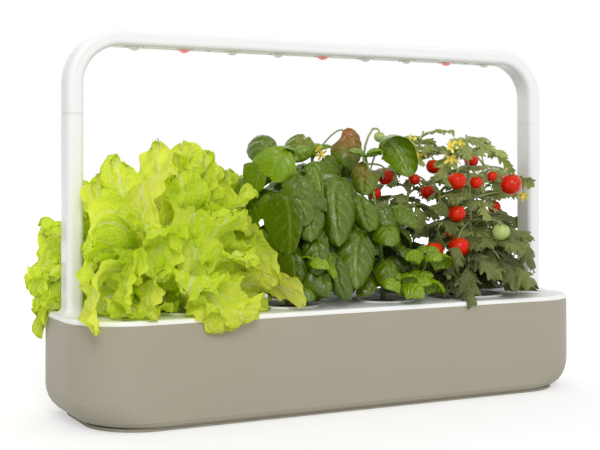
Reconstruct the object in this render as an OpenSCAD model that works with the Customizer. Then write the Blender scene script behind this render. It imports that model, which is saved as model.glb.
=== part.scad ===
// Countertop hydroponic garden. A water basin carries a lid with nine plant cups,
// and two plug-in arms hold a bridge-shaped LED lamp over the plants.
// Millimetres, +Z up, -Y the front, the origin in the middle of the underside.

/* [Base] */
// Length of the basin and of the lid
base_l = 600; // [570:1:680]
// Depth of the basin and of the lid
base_w = 180; // [170:1:230]
// Plan radius of the base's corners
corner_r = 62; // [45:1:70]
// Height of the basin's rim above the table
basin_top = 102.5; // [95:0.5:130]
// Thickness of the basin's walls
basin_wall = 3; // [2:0.5:4]
// Thickness of the basin's floor
floor_t = 3; // [2:0.5:5]
// Radius between the floor and the two ends
end_r = 30; // [12:1:40]
// Radius between the floor and the long sides
side_r = 7; // [5:0.5:12]
// Thickness of the rubber sole
sole_t = 3.2; // [2:0.1:5]
// Distance of the sole's ends from the basin's ends
sole_inset = 22; // [15:1:40]

/* [Lid] */
// Height of the lid's rim above the basin
lid_h = 4.5; // [4:0.1:8]
// Radius of the lid's upper edge
lid_edge_r = 3.2; // [1:0.1:3.8]
// Thickness of the lid's top plate
plate_t = 2.4; // [1.6:0.1:3]
// Thickness of the skirt that hangs into the basin
skirt_t = 2; // [1.5:0.1:3]
// Depth of the skirt below the basin's rim
skirt_d = 8; // [4:0.5:15]
// Clearance between the skirt and the basin
skirt_gap = 0.5; // [0.3:0.1:1]

/* [Cups] */
// Clearance between the outer cups' rings and the arms' feet
cup_clear = 1.9; // [1:0.1:10]
// Distance of both rows of cups from the middle
row_y = 31; // [28:0.5:34]
// Outer radius of a cup below the lid
cup_r = 26; // [24:0.5:28]
// Outer radius of a cup at its bottom
cup_base_r = 20.5; // [17:0.5:22]
// Depth of a cup below the lid's top
cup_depth = 52; // [46:1:60]
// Wall thickness of a cup
cup_wall = 1.6; // [1.2:0.1:2]
// Outer radius of the raised ring round a cup
ring_r = 35; // [32:0.5:36]
// Width of the raised ring
ring_w = 2.2; // [1.5:0.1:4]
// Height of the raised ring above the lid
ring_h = 2; // [1.2:0.1:4]
// Number of root slots in a cup's wall
root_slots = 6; // [4:1:8]
// Diameter of the capillary wicks
wick_d = 5; // [3:0.5:6]

/* [Pods] */
// Wall thickness of a pod's shell
pod_wall = 1.2; // [0.8:0.1:1.6]
// Clearance between a pod and its cup
pod_gap = 0.4; // [0.3:0.1:0.8]
// Depth of the growth plug's top below the lid's top
plug_sink = 2; // [1:0.5:4]

/* [Float] */
// Length of the refill port in the lid
port_l = 46; // [40:1:48]
// Width of the refill port
port_w = 24; // [22:0.5:26]
// Distance of the refill port in front of the middle
port_y = 48; // [46:1:52]
// Radius of the float
float_r = 9.5; // [7:0.5:10]
// Height of the float's buoyant body
float_h = 24; // [16:1:34]
// Rise of the float from an empty to a full basin
float_travel = 30; // [20:1:36]

/* [Arms] */
// Distance of an arm's outer face from the end of the base
arm_inset = 8.5; // [8:0.5:14]
// Thickness of the arms and of the lamp along X
arm_t = 17; // [15:0.5:20]
// Depth of the arms and of the lamp along Y
arm_d = 28; // [26:0.5:34]
// Radius of the long edges of the arms and the lamp
arm_edge_r = 5.5; // [3:0.5:6]
// Height of the shadow groove round the seam between an arm and the lamp
seam_h = 0.6; // [0.3:0.1:1.2]
// Depth of that groove
seam_d = 0.8; // [0.4:0.1:1.5]
// Radius of the flare at an arm's foot
foot_flare = 7; // [4:0.5:7]
// Thickness of the tenons along X
tenon_t = 10; // [8:0.5:10.5]
// Depth of the tenons along Y
tenon_d = 19; // [14:0.5:19.5]
// Length of the tenons
tenon_l = 24; // [16:1:26]
// Clearance round a tenon in its socket
tenon_gap = 0.3; // [0.2:0.05:0.4]
// Bore of the power inlet
inlet_d = 5.5; // [5:0.1:6]

/* [Lamp] */
// Height of the lamp's top above the table
lamp_top = 392; // [385:1:420]
// Height of the lamp from its seam with the arms to its top
lamp_h = 86; // [84:1:120]
// Outer radius of the lamp's bends
bend_r = 57; // [50:1:58]
// Number of lenses
lens_count = 9; // [7:2:9]
// Distance of the outer lenses from the lamp's bends
lens_inset = 16.5; // [15:0.5:40]
// Radius of a lens
lens_r = 7.3; // [5:0.1:7.5]
// Height of a lens below the lamp's cover
lens_drop = 4; // [2:0.5:5]
// Width of the cover under the lamp
cover_w = 21; // [20.5:0.5:22]
// Thickness of the cover
cover_t = 2; // [1.5:0.1:2.5]
// Width of the LED board
board_w = 17; // [16:0.5:18]
// Depth of the board's channel above the lamp's underside
channel_d = 10; // [8:0.5:11]

/* [Plants] */
// Height of the lettuces above the lid
lettuce_h = 172; // [120:1:180]
// Reach of the lettuces' lowest leaves from the stem
lettuce_r = 104; // [80:1:112]
// How far those leaves hang down beyond the base's edges
lettuce_droop = 78; // [40:1:90]
// Height of the basils above the lid
basil_h = 186; // [120:1:190]
// Length of the largest basil leaves
basil_leaf = 74; // [50:1:80]
// Height of the tomato plants above the lid
tomato_h = 190; // [120:1:192]
// Length of the largest tomato leaves
tomato_leaf = 72; // [50:1:80]
// Thickness of the leaves
leaf_t = 1.6; // [1:0.1:2.5]
// How far leaves may lean out over the base's edges
overhang = 24; // [10:1:30]
// Radius of a ripe tomato
tomato_r = 10.5; // [8:0.5:12]

/* [Hidden] */
$fn = 64;
eps = 0.01;
cups = 9;
lid_top = basin_top + lid_h;
water_floor = sole_t + floor_t;
loft_steps = 7;
ring_steps = 12;

// Cups and pods, as revolved outlines
ledge_w = 1;
ledge_z = 3.4;
flange_t = 0.9;
cup_floor = 2;
cup_hole_r = wick_d/2 + 0.7;
cup_fit = 0.3;
cup_in_top = cup_r - cup_wall;
cup_in_base = cup_base_r - cup_wall;
pod_rim_t = 1.2;
pod_top_r = cup_in_top - ledge_w - pod_gap;
pod_floor_z = -cup_depth + cup_floor + pod_gap;
pod_base_r = cup_in_base - pod_gap;
pod_hole_r = cup_hole_r + 2.4;
plug_gap = 0.15;
wick_low = water_floor + 4;
slot_w = 4;
slot_h = 16;

// Arms and lamp
arm_x = base_l/2 - arm_inset - arm_t/2;
arm_top = lamp_top - lamp_h;
flare_land = 0.8;
flare_bite = 0.3;
flare_root = 1;
tenon_r = 2.5;
socket_wall = 2.2;
bend_c = bend_r - arm_t/2;
bend_z = lamp_top - bend_r;
bar_l = 2*(arm_x + arm_t/2 - bend_r);
bar_z = lamp_top - arm_t;
inlet_z = lid_top + foot_flare + 14;
inlet_len = 10;
inlet_wall = 1.4;
inlet_pin_r = 1;
inlet_fit = 0.1;
contact_r = 1.2;
contact_dy = 4;
contact_up = 0.4;
pad_t = 0.4;
pad_r = 2;
socket_end = arm_top + tenon_l + contact_up + pad_t + 0.1;

// Cups' spacing: the outer ones stand clear of the round corners of the arms' feet
foot_corner = [arm_x - arm_t/2 + arm_edge_r, arm_d/2 - arm_edge_r];
cup_to_foot = ring_r + arm_edge_r + foot_flare + cup_clear;
cup_pitch = 2*(foot_corner[0] - sqrt(pow(cup_to_foot, 2) - pow(row_y - foot_corner[1], 2)))/(cups - 1);

// Refill port and float
port_x = -2*cup_pitch;
float_x = port_x - (port_l - port_w)/2;
guide_gap = 0.5;
guide_wall = 1.4;
guide_r = float_r + guide_gap + guide_wall;
guide_flange = port_w/2 + 4 - guide_r;
guide_low = water_floor + 3;
guide_ledge = 2;
float_low = guide_low + guide_ledge;
float_top = lid_top - float_travel - 2;
stem_r = 3.2;
cap_r = float_r - 0.6;
cap_t = 2.5;

// Strip under the lamp
lens_pitch = (bar_l - 2*lens_inset)/(lens_count - 1);
cover_gap = 0.2;
cover_over = 13;
cover_l = (lens_count - 1)*lens_pitch + 2*(lens_r + cover_over);
board_t = 1.6;
board_l = cover_l - 6;
board_z = bar_z + channel_d - board_t;
lens_hole_r = lens_r + 0.2;
lens_pad_w = 2.2;
lens_pad_t = 0.6;
lens_flange_t = 1.2;
chip = 3.4;
chip_t = 0.7;
chip_room = 0.8;
screw_slots = [1.5 - (lens_count - 1)/2, (lens_count - 1)/2 - 0.5];
screw_r = 1.2;
screw_head_r = 2.3;
screw_head_t = 0.9;
screw_l = 12;
post_r = 2.9;
red_lenses = [1, 4, 7];

// Plants
seat = 0.2;
crown_t = 4;
cell_gap = 0.3;
arm_clear = 0.6;
brush = 12;
golden = 137.5;
lettuce_root = 7;
whorl_leaves = 5;
whorl_gap = 0.8;
// Each whorl's reach, rise and droop, as shares of the lettuce's own
whorls = [[1, 0.34, 1], [0.92, 0.6, 0.38], [0.77, 0.82, 0], [0.5, 0.92, 0]];
// Free space that a leaf keeps from the walls of its room, for its width and its tip
leaf_room = 13;
basil_levels = 7;
tomato_leaves = 8;

// Place of cup i: even ones stand in the back row, odd ones in the front row
function cup_x(i) = (i - (cups - 1)/2)*cup_pitch;
function cup_side(i) = i % 2 == 0 ? 1 : -1;
function lens_x(i) = (i - (lens_count - 1)/2)*lens_pitch;
function is_red(i) = len([for (r = red_lenses) if (r == i) r]) > 0;

// Rectangle with rounded corners, centred on the origin
module round_rect(l, w, r) {
    square([l - 2*r, w], center = true);
    square([l, w - 2*r], center = true);
    for (sx = [-1, 1], sy = [-1, 1])
        translate([sx*(l/2 - r), sy*(w/2 - r)]) circle(r);
}

// Carries one child to each place on both sides of the middle
module both_ends() {
    children();
    mirror([1, 0, 0]) children();
}

// ---- Base ----

// How far a rounding of radius r between floor and wall draws the wall in at height z
function rounding(r, z) = z < r ? r - sqrt(r*r - (r - z)*(r - z)) : 0;

// Points of a rounded rectangle at height z, anticlockwise
function rounded_ring(l, w, r, z) = [
    for (turn = [0:90:270], k = [0:ring_steps])
        let (a = turn + 90*k/ring_steps)
        [sign(cos(turn + 45))*(l/2 - r) + r*cos(a), sign(sin(turn + 45))*(w/2 - r) + r*sin(a), z]
];

// Closed solid through a stack of rings, from the lowest to the highest
module loft(rings) {
    n = len(rings[0]);
    last = n*(len(rings) - 1);
    polyhedron(
        points = [for (r = rings) each r],
        faces = concat(flipped(grid_faces(len(rings), n, true)),
                       [[for (k = [0:n - 1]) k], [for (k = [n - 1:-1:0]) last + k]])
    );
}

// The basin's form, or its hollow when inset by the wall. The rounding along the floor is
// wide at the ends and slight along the sides, and the corners lead one into the other.
module basin_form(inset, low, high) {
    r = end_r - inset;
    curve = [for (k = [0:loft_steps]) r*(1 - cos(90*k/loft_steps))];
    translate([0, 0, low])
        loft([for (z = concat(curve, [high - low]))
            let (in_x = inset + rounding(r, z), in_y = inset + rounding(side_r - inset, z))
            rounded_ring(base_l - 2*in_x, base_w - 2*in_y, corner_r - inset, z)]);
}

module basin() {
    color([0.65, 0.62, 0.54])
        difference() {
            basin_form(0, sole_t, basin_top);
            basin_form(basin_wall, water_floor, basin_top + end_r);
        }
}

module base_sole() {
    l = base_l - 2*sole_inset;
    w = base_w - 2*side_r;
    color([0.12, 0.12, 0.12])
        linear_extrude(sole_t) round_rect(l, w, corner_r - side_r);
}

// Slab with rounded corners and a rounded upper edge
module soft_slab(l, w, r, h, edge) {
    linear_extrude(h - edge) round_rect(l, w, r);
    linear_extrude(h) round_rect(l - 2*edge, w - 2*edge, r - edge);
    for (turn = [0, 180]) rotate([0, 0, turn])
        translate([0, 0, h - edge]) {
            translate([0, w/2 - edge, 0])
                rotate([90, 0, 90])
                    linear_extrude(l - 2*r, center = true) quarter_disc(edge);
            translate([l/2 - edge, 0, 0])
                rotate([90, 0, 0])
                    linear_extrude(w - 2*r, center = true) quarter_disc(edge);
            translate([l/2 - r, w/2 - r, 0])
                rotate_extrude(angle = 90) translate([r - edge, 0]) quarter_disc(edge);
            translate([r - l/2, w/2 - r, 0])
                rotate([0, 0, 90])
                    rotate_extrude(angle = 90) translate([r - edge, 0]) quarter_disc(edge);
        }
}

module quarter_disc(r) {
    intersection() {
        circle(r);
        square(r);
    }
}

module skirt() {
    inset = basin_wall + skirt_gap;
    low = basin_top - skirt_d;
    translate([0, 0, low])
        difference() {
            linear_extrude(lid_top - plate_t - low)
                round_rect(base_l - 2*inset, base_w - 2*inset, corner_r - inset);
            translate([0, 0, -1])
                linear_extrude(lid_top - low) {
                    inner = inset + skirt_t;
                    round_rect(base_l - 2*inner, base_w - 2*inner, corner_r - inner);
                }
        }
}

module refill_port(h) {
    translate([port_x, -port_y, lid_top - h/2]) {
        cube([port_l - port_w, port_w, h], center = true);
        for (s = [-1, 1])
            translate([s*(port_l - port_w)/2, 0, 0]) cylinder(d = port_w, h = h, center = true);
    }
}

module lid() {
    under = lid_top - plate_t;
    socket_low = lid_top - tenon_l - socket_wall;
    color([0.96, 0.96, 0.95])
        difference() {
            union() {
                difference() {
                    translate([0, 0, basin_top])
                        soft_slab(base_l, base_w, corner_r, lid_h, lid_edge_r);
                    translate([0, 0, basin_top - 1])
                        linear_extrude(under - basin_top + 1)
                            round_rect(base_l - 2*basin_wall, base_w - 2*basin_wall,
                                       corner_r - basin_wall);
                }
                skirt();
                both_ends()
                    translate([arm_x, 0, socket_low])
                        linear_extrude(under - socket_low + eps)
                            round_rect(tenon_t + 2*(tenon_gap + socket_wall),
                                       tenon_d + 2*(tenon_gap + socket_wall),
                                       tenon_r + socket_wall);
            }
            for (i = [0:cups - 1])
                translate([cup_x(i), cup_side(i)*row_y, lid_top - 2*plate_t])
                    cylinder(r = cup_r + cup_fit, h = 3*plate_t);
            refill_port(4*plate_t);
            both_ends()
                translate([arm_x, 0, lid_top - tenon_l - tenon_gap])
                    linear_extrude(2*tenon_l)
                        round_rect(tenon_t + 2*tenon_gap, tenon_d + 2*tenon_gap,
                                   tenon_r + tenon_gap);
        }
}

// ---- Cups, wicks and float ----

module at_cup(i) {
    translate([cup_x(i), cup_side(i)*row_y, lid_top]) children();
}

module cup_outline() {
    polygon([
        [cup_hole_r, -cup_depth], [cup_base_r, -cup_depth], [cup_r, -eps], [cup_r, 0],
        [ring_r, 0], [ring_r, ring_h - 0.6], [ring_r - 0.6, ring_h],
        [ring_r - ring_w + 0.6, ring_h], [ring_r - ring_w, ring_h - 0.6],
        [ring_r - ring_w, flange_t], [cup_in_top + 0.8, flange_t], [cup_in_top, 0],
        [cup_in_top, -ledge_z], [cup_in_top - ledge_w, -ledge_z],
        [cup_in_base, cup_floor - cup_depth], [cup_hole_r, cup_floor - cup_depth]
    ]);
}

module cup(i) {
    color([0.94, 0.94, 0.93])
        at_cup(i)
            difference() {
                rotate_extrude() cup_outline();
                for (k = [0:root_slots - 1])
                    rotate([0, 0, (k + 0.5)*360/root_slots])
                        translate([cup_base_r - 6, -slot_w/2, cup_floor + 4 - cup_depth])
                            cube([12, slot_w, slot_h]);
            }
}

module wicks() {
    wick_top = lid_top + pod_floor_z + pod_wall - 0.3;
    color([0.9, 0.9, 0.86])
        for (i = [0:cups - 1])
            translate([cup_x(i), cup_side(i)*row_y, wick_low])
                cylinder(d = wick_d, h = wick_top - wick_low);
}

module float_guide() {
    high = lid_top - plate_t;
    bore_r = float_r + guide_gap;
    color([0.93, 0.93, 0.92])
        translate([float_x, -port_y, 0])
            difference() {
                rotate_extrude()
                    polygon([
                        [float_r - 2.5, guide_low], [guide_r, guide_low], [guide_r, high - 2],
                        [guide_r + guide_flange, high - 2], [guide_r + guide_flange, high],
                        [bore_r, high], [bore_r, float_low], [float_r - 2.5, float_low]
                    ]);
                for (k = [0:2])
                    rotate([0, 0, 60 + k*120])
                        translate([float_r - 2, -slot_w, float_low + 6])
                            cube([8, 2*slot_w, high - float_low - 24]);
            }
}

module float() {
    translate([float_x, -port_y, 0]) {
        color([0.95, 0.95, 0.95])
            rotate_extrude()
                polygon([
                    [0, float_low], [float_r - 2, float_low], [float_r, float_low + 2],
                    [float_r, float_low + float_h - 2], [float_r - 2, float_low + float_h],
                    [stem_r, float_low + float_h], [stem_r, float_top - cap_t],
                    [cap_r, float_top - cap_t], [cap_r, float_top - 1],
                    [cap_r - 1, float_top], [0, float_top]
                ]);
    }
}

// ---- Arms ----

module arm_section() {
    round_rect(arm_t, arm_d, arm_edge_r);
}

// Cross-section of the flare; its left edge lies inside the arm by flare_root
module flare_profile() {
    h = foot_flare + flare_land;
    difference() {
        square([foot_flare + flare_root, h]);
        translate([foot_flare + flare_root, h]) circle(foot_flare + flare_bite);
    }
}

module foot() {
    dx = arm_t/2 - arm_edge_r;
    dy = arm_d/2 - arm_edge_r;
    for (turn = [0, 180]) rotate([0, 0, turn]) {
        translate([arm_t/2 - flare_root, 0, 0])
            rotate([90, 0, 0]) linear_extrude(2*dy, center = true) flare_profile();
        translate([0, arm_d/2 - flare_root, 0])
            rotate([90, 0, 90]) linear_extrude(2*dx, center = true) flare_profile();
        translate([dx, dy, 0])
            rotate_extrude(angle = 90)
                translate([arm_edge_r - flare_root, 0]) flare_profile();
        translate([-dx, dy, 0])
            rotate([0, 0, 90])
                rotate_extrude(angle = 90)
                    translate([arm_edge_r - flare_root, 0]) flare_profile();
    }
}

module arm_body() {
    translate([arm_x, 0, lid_top]) {
        linear_extrude(arm_top - seam_h - lid_top) arm_section();
        linear_extrude(arm_top - lid_top)
            round_rect(arm_t - 2*seam_d, arm_d - 2*seam_d, arm_edge_r - seam_d);
        foot();
        translate([0, 0, -tenon_l])
            linear_extrude(arm_top - lid_top + 2*tenon_l)
                round_rect(tenon_t, tenon_d, tenon_r);
    }
}

module extension_arm_left() {
    color([0.96, 0.96, 0.95]) mirror([1, 0, 0]) arm_body();
}

module inlet_space(r, len) {
    translate([arm_x, arm_d/2 - len, inlet_z])
        rotate([-90, 0, 0]) cylinder(r = r, h = len + eps);
}

module contact_places() {
    for (s = [-1, 1]) translate([arm_x, s*contact_dy, arm_top + tenon_l]) children();
}

module extension_arm_right() {
    color([0.96, 0.96, 0.95])
        difference() {
            arm_body();
            inlet_space(inlet_d/2 + inlet_wall + inlet_fit, inlet_len);
            contact_places() translate([0, 0, -4]) cylinder(r = contact_r, h = 5);
        }
}

module power_inlet() {
    outer_r = inlet_d/2 + inlet_wall;
    color([0.15, 0.15, 0.15])
        translate([arm_x, arm_d/2 - inlet_len, inlet_z])
            rotate([-90, 0, 0])
                union() {
                    difference() {
                        cylinder(r = outer_r, h = inlet_len);
                        translate([0, 0, 1.5]) cylinder(d = inlet_d, h = inlet_len);
                    }
                    cylinder(r = inlet_pin_r, h = inlet_len - 1);
                }
}

module contact_pins() {
    color([0.8, 0.65, 0.3])
        contact_places() translate([0, 0, -4]) cylinder(r = contact_r, h = 4 + contact_up);
}

// ---- Lamp ----

module lamp_bridge() {
    both_ends() {
        translate([arm_x, 0, arm_top]) linear_extrude(bend_z - arm_top) arm_section();
        translate([arm_x - bend_c, 0, bend_z])
            rotate([90, 0, 0])
                rotate_extrude(angle = 90) translate([bend_c, 0]) arm_section();
    }
    translate([0, 0, lamp_top - arm_t/2])
        rotate([90, 0, 90])
            linear_extrude(bar_l, center = true) round_rect(arm_d, arm_t, arm_edge_r);
}

module at_screws(z) {
    for (k = screw_slots) translate([k*lens_pitch, 0, z]) children();
}

module lamp_housing() {
    color([0.97, 0.97, 0.97])
        difference() {
            union() {
                difference() {
                    lamp_bridge();
                    translate([0, 0, bar_z - 1])
                        linear_extrude(cover_t + 1)
                            round_rect(cover_l + 2*cover_gap, cover_w + 2*cover_gap, 6);
                    translate([0, 0, bar_z - 1])
                        linear_extrude(channel_d + 1)
                            round_rect(board_l + 2*cover_gap, board_w + 2*cover_gap, 3);
                    both_ends()
                        translate([arm_x, 0, arm_top - 1])
                            linear_extrude(socket_end - arm_top + 1)
                                round_rect(tenon_t + 2*tenon_gap, tenon_d + 2*tenon_gap,
                                           tenon_r + tenon_gap);
                }
                at_screws(bar_z + cover_t) cylinder(r = post_r, h = channel_d - cover_t + 1);
            }
            at_screws(bar_z) cylinder(r = screw_r, h = screw_l);
        }
}

module contact_pads() {
    color([0.8, 0.65, 0.3])
        for (s = [-1, 1])
            translate([arm_x, s*contact_dy, socket_end - pad_t]) cylinder(r = pad_r, h = pad_t);
}

module led_board() {
    color([0.9, 0.9, 0.88])
        difference() {
            translate([0, 0, board_z]) linear_extrude(board_t) round_rect(board_l, board_w, 2.5);
            at_screws(board_z - 1) cylinder(r = post_r + 0.2, h = board_t + 2);
        }
}

module led_chips() {
    color([0.95, 0.85, 0.3])
        for (i = [0:lens_count - 1])
            translate([lens_x(i) - chip/2, -chip/2, board_z - chip_t]) cube([chip, chip, chip_t]);
}

// Lens outline: flange on the board, straight neck, domed nose below the cover
module lens_outline() {
    nose_r = (lens_r*lens_r + lens_drop*lens_drop)/(2*lens_drop);
    difference() {
        union() {
            translate([0, bar_z]) square([lens_r, board_z - bar_z]);
            translate([0, board_z - lens_flange_t]) square([lens_r + 0.5, lens_flange_t]);
            intersection() {
                translate([0, bar_z - lens_drop + nose_r]) circle(nose_r);
                translate([0, bar_z - lens_drop]) square([lens_r, lens_drop]);
            }
        }
        translate([0, board_z - chip_t - chip_room])
            square([chip*0.75, chip_t + chip_room + 1]);
    }
}

module lenses(red) {
    for (i = [0:lens_count - 1])
        if (is_red(i) == red) translate([lens_x(i), 0, 0]) rotate_extrude() lens_outline();
}

module lenses_white() {
    color([0.95, 0.95, 1.0]) lenses(false);
}

module lenses_red() {
    color([0.75, 0.1, 0.15]) lenses(true);
}

module lamp_cover() {
    color([0.7, 0.76, 0.72])
        difference() {
            union() {
                translate([0, 0, bar_z]) linear_extrude(cover_t) round_rect(cover_l, cover_w, 5.8);
                for (i = [0:lens_count - 1])
                    translate([lens_x(i), 0, bar_z - lens_pad_t])
                        cylinder(r = lens_hole_r + lens_pad_w, h = lens_pad_t + eps);
            }
            for (i = [0:lens_count - 1])
                translate([lens_x(i), 0, bar_z - 2]) cylinder(r = lens_hole_r, h = cover_t + 3);
            at_screws(bar_z - 1) cylinder(r = screw_r + 0.2, h = cover_t + 2);
        }
}

module cover_screws() {
    color([0.6, 0.6, 0.6])
        at_screws(bar_z - screw_head_t)
            union() {
                cylinder(r1 = screw_head_r - 0.5, r2 = screw_head_r, h = screw_head_t);
                cylinder(r = screw_r - 0.05, h = screw_l - 1);
            }
}

// ---- Pods ----

function pod_r(z) = pod_base_r + (pod_top_r - pod_base_r)*(z - pod_floor_z)/(-ledge_z - pod_floor_z);

module pod(i) {
    rim_r = cup_in_top - pod_gap;
    rim_z = pod_rim_t - ledge_z;
    color([0.85, 0.85, 0.82])
        at_cup(i)
            rotate_extrude()
                polygon([
                    [pod_hole_r, pod_floor_z], [pod_base_r, pod_floor_z], [pod_top_r, -ledge_z],
                    [rim_r, -ledge_z], [rim_r, rim_z], [pod_top_r - pod_wall, rim_z],
                    [pod_base_r - pod_wall, pod_floor_z + pod_wall],
                    [pod_hole_r, pod_floor_z + pod_wall]
                ]);
}

module growth_plug(i) {
    low = pod_floor_z + pod_wall;
    shrink = pod_wall + plug_gap;
    color([0.22, 0.17, 0.12])
        at_cup(i)
            rotate_extrude()
                polygon([
                    [0, low], [pod_r(low) - shrink, low], [pod_r(-ledge_z) - shrink, -ledge_z],
                    [pod_r(-ledge_z) - shrink - 1, -plug_sink], [0, -plug_sink]
                ]);
}

// ---- Plants ----

// Every leaf, stem and fruit is a closed skin of its own: a list of points and one of
// triangles. A plant joins its skins into one polyhedron; they touch nowhere.
function joined(skins) =
    let (starts = [for (i = 0, n = 0; i < len(skins); n = n + len(skins[i][0]), i = i + 1) n])
    [[for (s = skins) each s[0]],
     [for (i = [0:len(skins) - 1], f = skins[i][1]) [for (v = f) v + starts[i]]]];

module plant(i, tint, skins) {
    all = joined(skins);
    color(tint) at_cup(i) translate([0, 0, -plug_sink]) polyhedron(points = all[0], faces = all[1]);
}

// Triangles over a grid of points, row by row; a ring's rows close on themselves
function grid_faces(rows, cols, ring) = [
    for (i = [0:rows - 2], j = [0:cols - (ring ? 1 : 2)])
        let (a = i*cols + j, b = i*cols + (j + 1) % cols)
        each [[a, b, b + cols], [a, b + cols, a + cols]]
];

// Triangles of a thin sheet: one side, the other side, and a band along each edge
function sheet_faces(rows, cols, ring) =
    let (
        all = rows*cols,
        side = grid_faces(rows, cols, ring),
        low = [for (j = [0:cols - 1]) j],
        high = [for (j = [cols - 1:-1:0]) (rows - 1)*cols + j],
        left = [for (i = [rows - 2:-1:1]) i*cols],
        right = [for (i = [1:rows - 2]) i*cols + cols - 1],
        edges = ring ? [low, high] : [concat(low, right, high, left)]
    )
    concat(
        side,
        [for (f = side) [f[2] + all, f[1] + all, f[0] + all]],
        [for (e = edges, k = [0:len(e) - 1])
            let (p = e[k], q = e[(k + 1) % len(e)])
            each [[q, p, p + all], [q, p + all, q + all]]]
    );

function turned(p, az) = [p[0]*cos(az) - p[1]*sin(az), p[0]*sin(az) + p[1]*cos(az), p[2]];

function flipped(faces) = [for (f = faces) [f[2], f[1], f[0]]];

// A leaf that leaves its base at angle rise, bends over by bend degrees and is cupped
// across by cup. Its first part is a stalk; lobes cuts its edge in on both sides.
function leaf_skin(base, az, size, wid, rise, bend, stalk = 0, lobes = 0, n = 3) =
    let (
        k = bend*PI/180,
        cup = -0.25,
        blade = function(t) max(0, (t - stalk)/(1 - stalk)),
        lobed = function(t) lobes == 0 ? 1 : 0.72 - 0.28*cos(360*lobes*blade(t)),
        half = function(t) max(1, wid/2*lobed(t)*pow(abs(sin(180*pow(blade(t), 0.85))), 0.6)),
        place = function(t, s, d)
            let (turn = rise - bend*t, off = cup*half(t)*s*s + d)
            [size*(sin(rise) - sin(turn))/k - off*sin(turn), half(t)*s,
             size*(cos(turn) - cos(rise))/k + off*cos(turn)]
    )
    [[for (d = [1, -1], t = [0:n], s = [-1:1]) base + turned(place(t/n, s, d*leaf_t/2), az)],
     sheet_faces(n + 1, 3, false)];

// Length of such a leaf whose tip lies at distance out from its base
function leaf_size(out, rise, bend) = out*(bend*PI/360)/(sin(bend/2)*cos(rise - bend/2));

// A straight stem from p to q
function stem_skin(p, q, r, sides = 6) =
    let (
        along = (q - p)/norm(q - p),
        across = abs(along[2]) > 0.99 ? [1, 0, 0] : cross(along, [0, 0, 1])/norm([along[0], along[1]]),
        other = cross(along, across)
    )
    [[for (c = [p, q], k = [0:sides - 1])
        c + r*(across*cos(360*k/sides) + other*sin(360*k/sides))],
     flipped(concat(
         grid_faces(2, sides, true),
         [for (k = [1:sides - 2]) each [[0, k + 1, k], [sides, sides + k, sides + k + 1]]]))];

// A round fruit
function ball_skin(c, r) =
    let (cols = 8, rows = 3, last = rows*cols)
    [concat([for (v = [-45, 0, 45], k = [0:cols - 1])
                c + r*[cos(v)*cos(k*360/cols), cos(v)*sin(k*360/cols), sin(v)]],
            [c - [0, 0, r], c + [0, 0, r]]),
     flipped(concat(
         grid_faces(rows, cols, true),
         [for (k = [0:cols - 1]) each
             [[last, (k + 1) % cols, k],
              [last + 1, last - cols + k, last - cols + (k + 1) % cols]]]))];

// The walls of plant i's room, each as an outward normal and its distance from the stem:
// they keep it clear of its neighbours and of the arms
function walls(i) =
    let (
        side = cup_side(i),
        out = cup_x(i) < 0 ? -1 : 1,
        beside = cup_pitch - cell_gap,
        slant = [arm_d/2 + arm_clear - cell_gap, -brush]/norm([arm_d/2 + arm_clear - cell_gap, brush]),
        corner = [arm_x - arm_t/2 - arm_clear - brush - abs(cup_x(i)), cell_gap - row_y]
    )
    concat(
        [[[0, -side], row_y - cell_gap], [[0, side], base_w/2 + overhang - row_y],
         [[-out, 0], beside]],
        i > 1 && i < cups - 2
            ? [[[out, 0], beside]]
            : [[[out, 0], base_l/2 + overhang - 2 - abs(cup_x(i))],
               [[out*slant[0], side*slant[1]], slant*corner]]
    );

// Free distance from plant i's stem to the walls of its room, seen along angle az
function room(i, az) =
    min([for (w = walls(i)) let (c = w[0]*[cos(az), sin(az)]) c > eps ? w[1]/c : base_l]);

// How far a point lies outside the base's outline
function beyond(x, y) =
    norm([max(0, abs(x) - base_l/2 + corner_r), max(0, abs(y) - base_w/2 + corner_r)]) - corner_r;

// One leaf of a whorl of lettuce leaves, a piece of a thin bowl that fits the room and is
// frilled along its rim. It spreads from root to reach and rises from low by high, and
// where it stands out beyond the base's edge it hangs down by up to droop.
function lettuce_leaf_skin(i, low, az, reach, high, droop) =
    let (
        grid = 4,
        frill = 5,
        leaf_gap = 2.5,
        tip_round = 0.14,
        open = 180/whorl_leaves - leaf_gap,
        far = function(a) min(reach, pow(reach/lettuce_r, 0.3)*(room(i, a) - 2*leaf_t)),
        sag = function(a)
            let (out = beyond(cup_x(i) + far(a)*cos(a), cup_side(i)*row_y + far(a)*sin(a)))
            droop*min(1, max(0, out/overhang)),
        spot = function(t, s, j, d)
            let (
                a = az + open*s,
                u = t*(1 - tip_round*pow(s, 4)),
                r = lettuce_root + (far(a) - lettuce_root)*sin(75*u)/sin(75) - d*u,
                z = low + high*(0.4*u + 0.6*u*u) - sag(a)*pow(u, 4) + frill*u*u*pow(-1, j) + d
            )
            [r*cos(a), r*sin(a), z]
    )
    [[for (d = [leaf_t, 0], k = [0:grid], j = [0:grid]) spot(k/grid, 2*j/grid - 1, j, d)],
     sheet_faces(grid + 1, grid + 1, false)];

module lettuce(i) {
    low = crown_t + seat;
    plant(i, [0.45, 0.62, 0.18], concat(
        [stem_skin([0, 0, seat], [0, 0, crown_t], 2*lettuce_root, 12)],
        [for (k = [0:len(whorls) - 1], n = [0:whorl_leaves - 1])
            lettuce_leaf_skin(i, low + k*(leaf_t + whorl_gap), (n + k/2)*360/whorl_leaves + 20*i,
                              whorls[k][0]*lettuce_r, whorls[k][1]*lettuce_h,
                              whorls[k][2]*lettuce_droop)]
    ));
}

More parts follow.
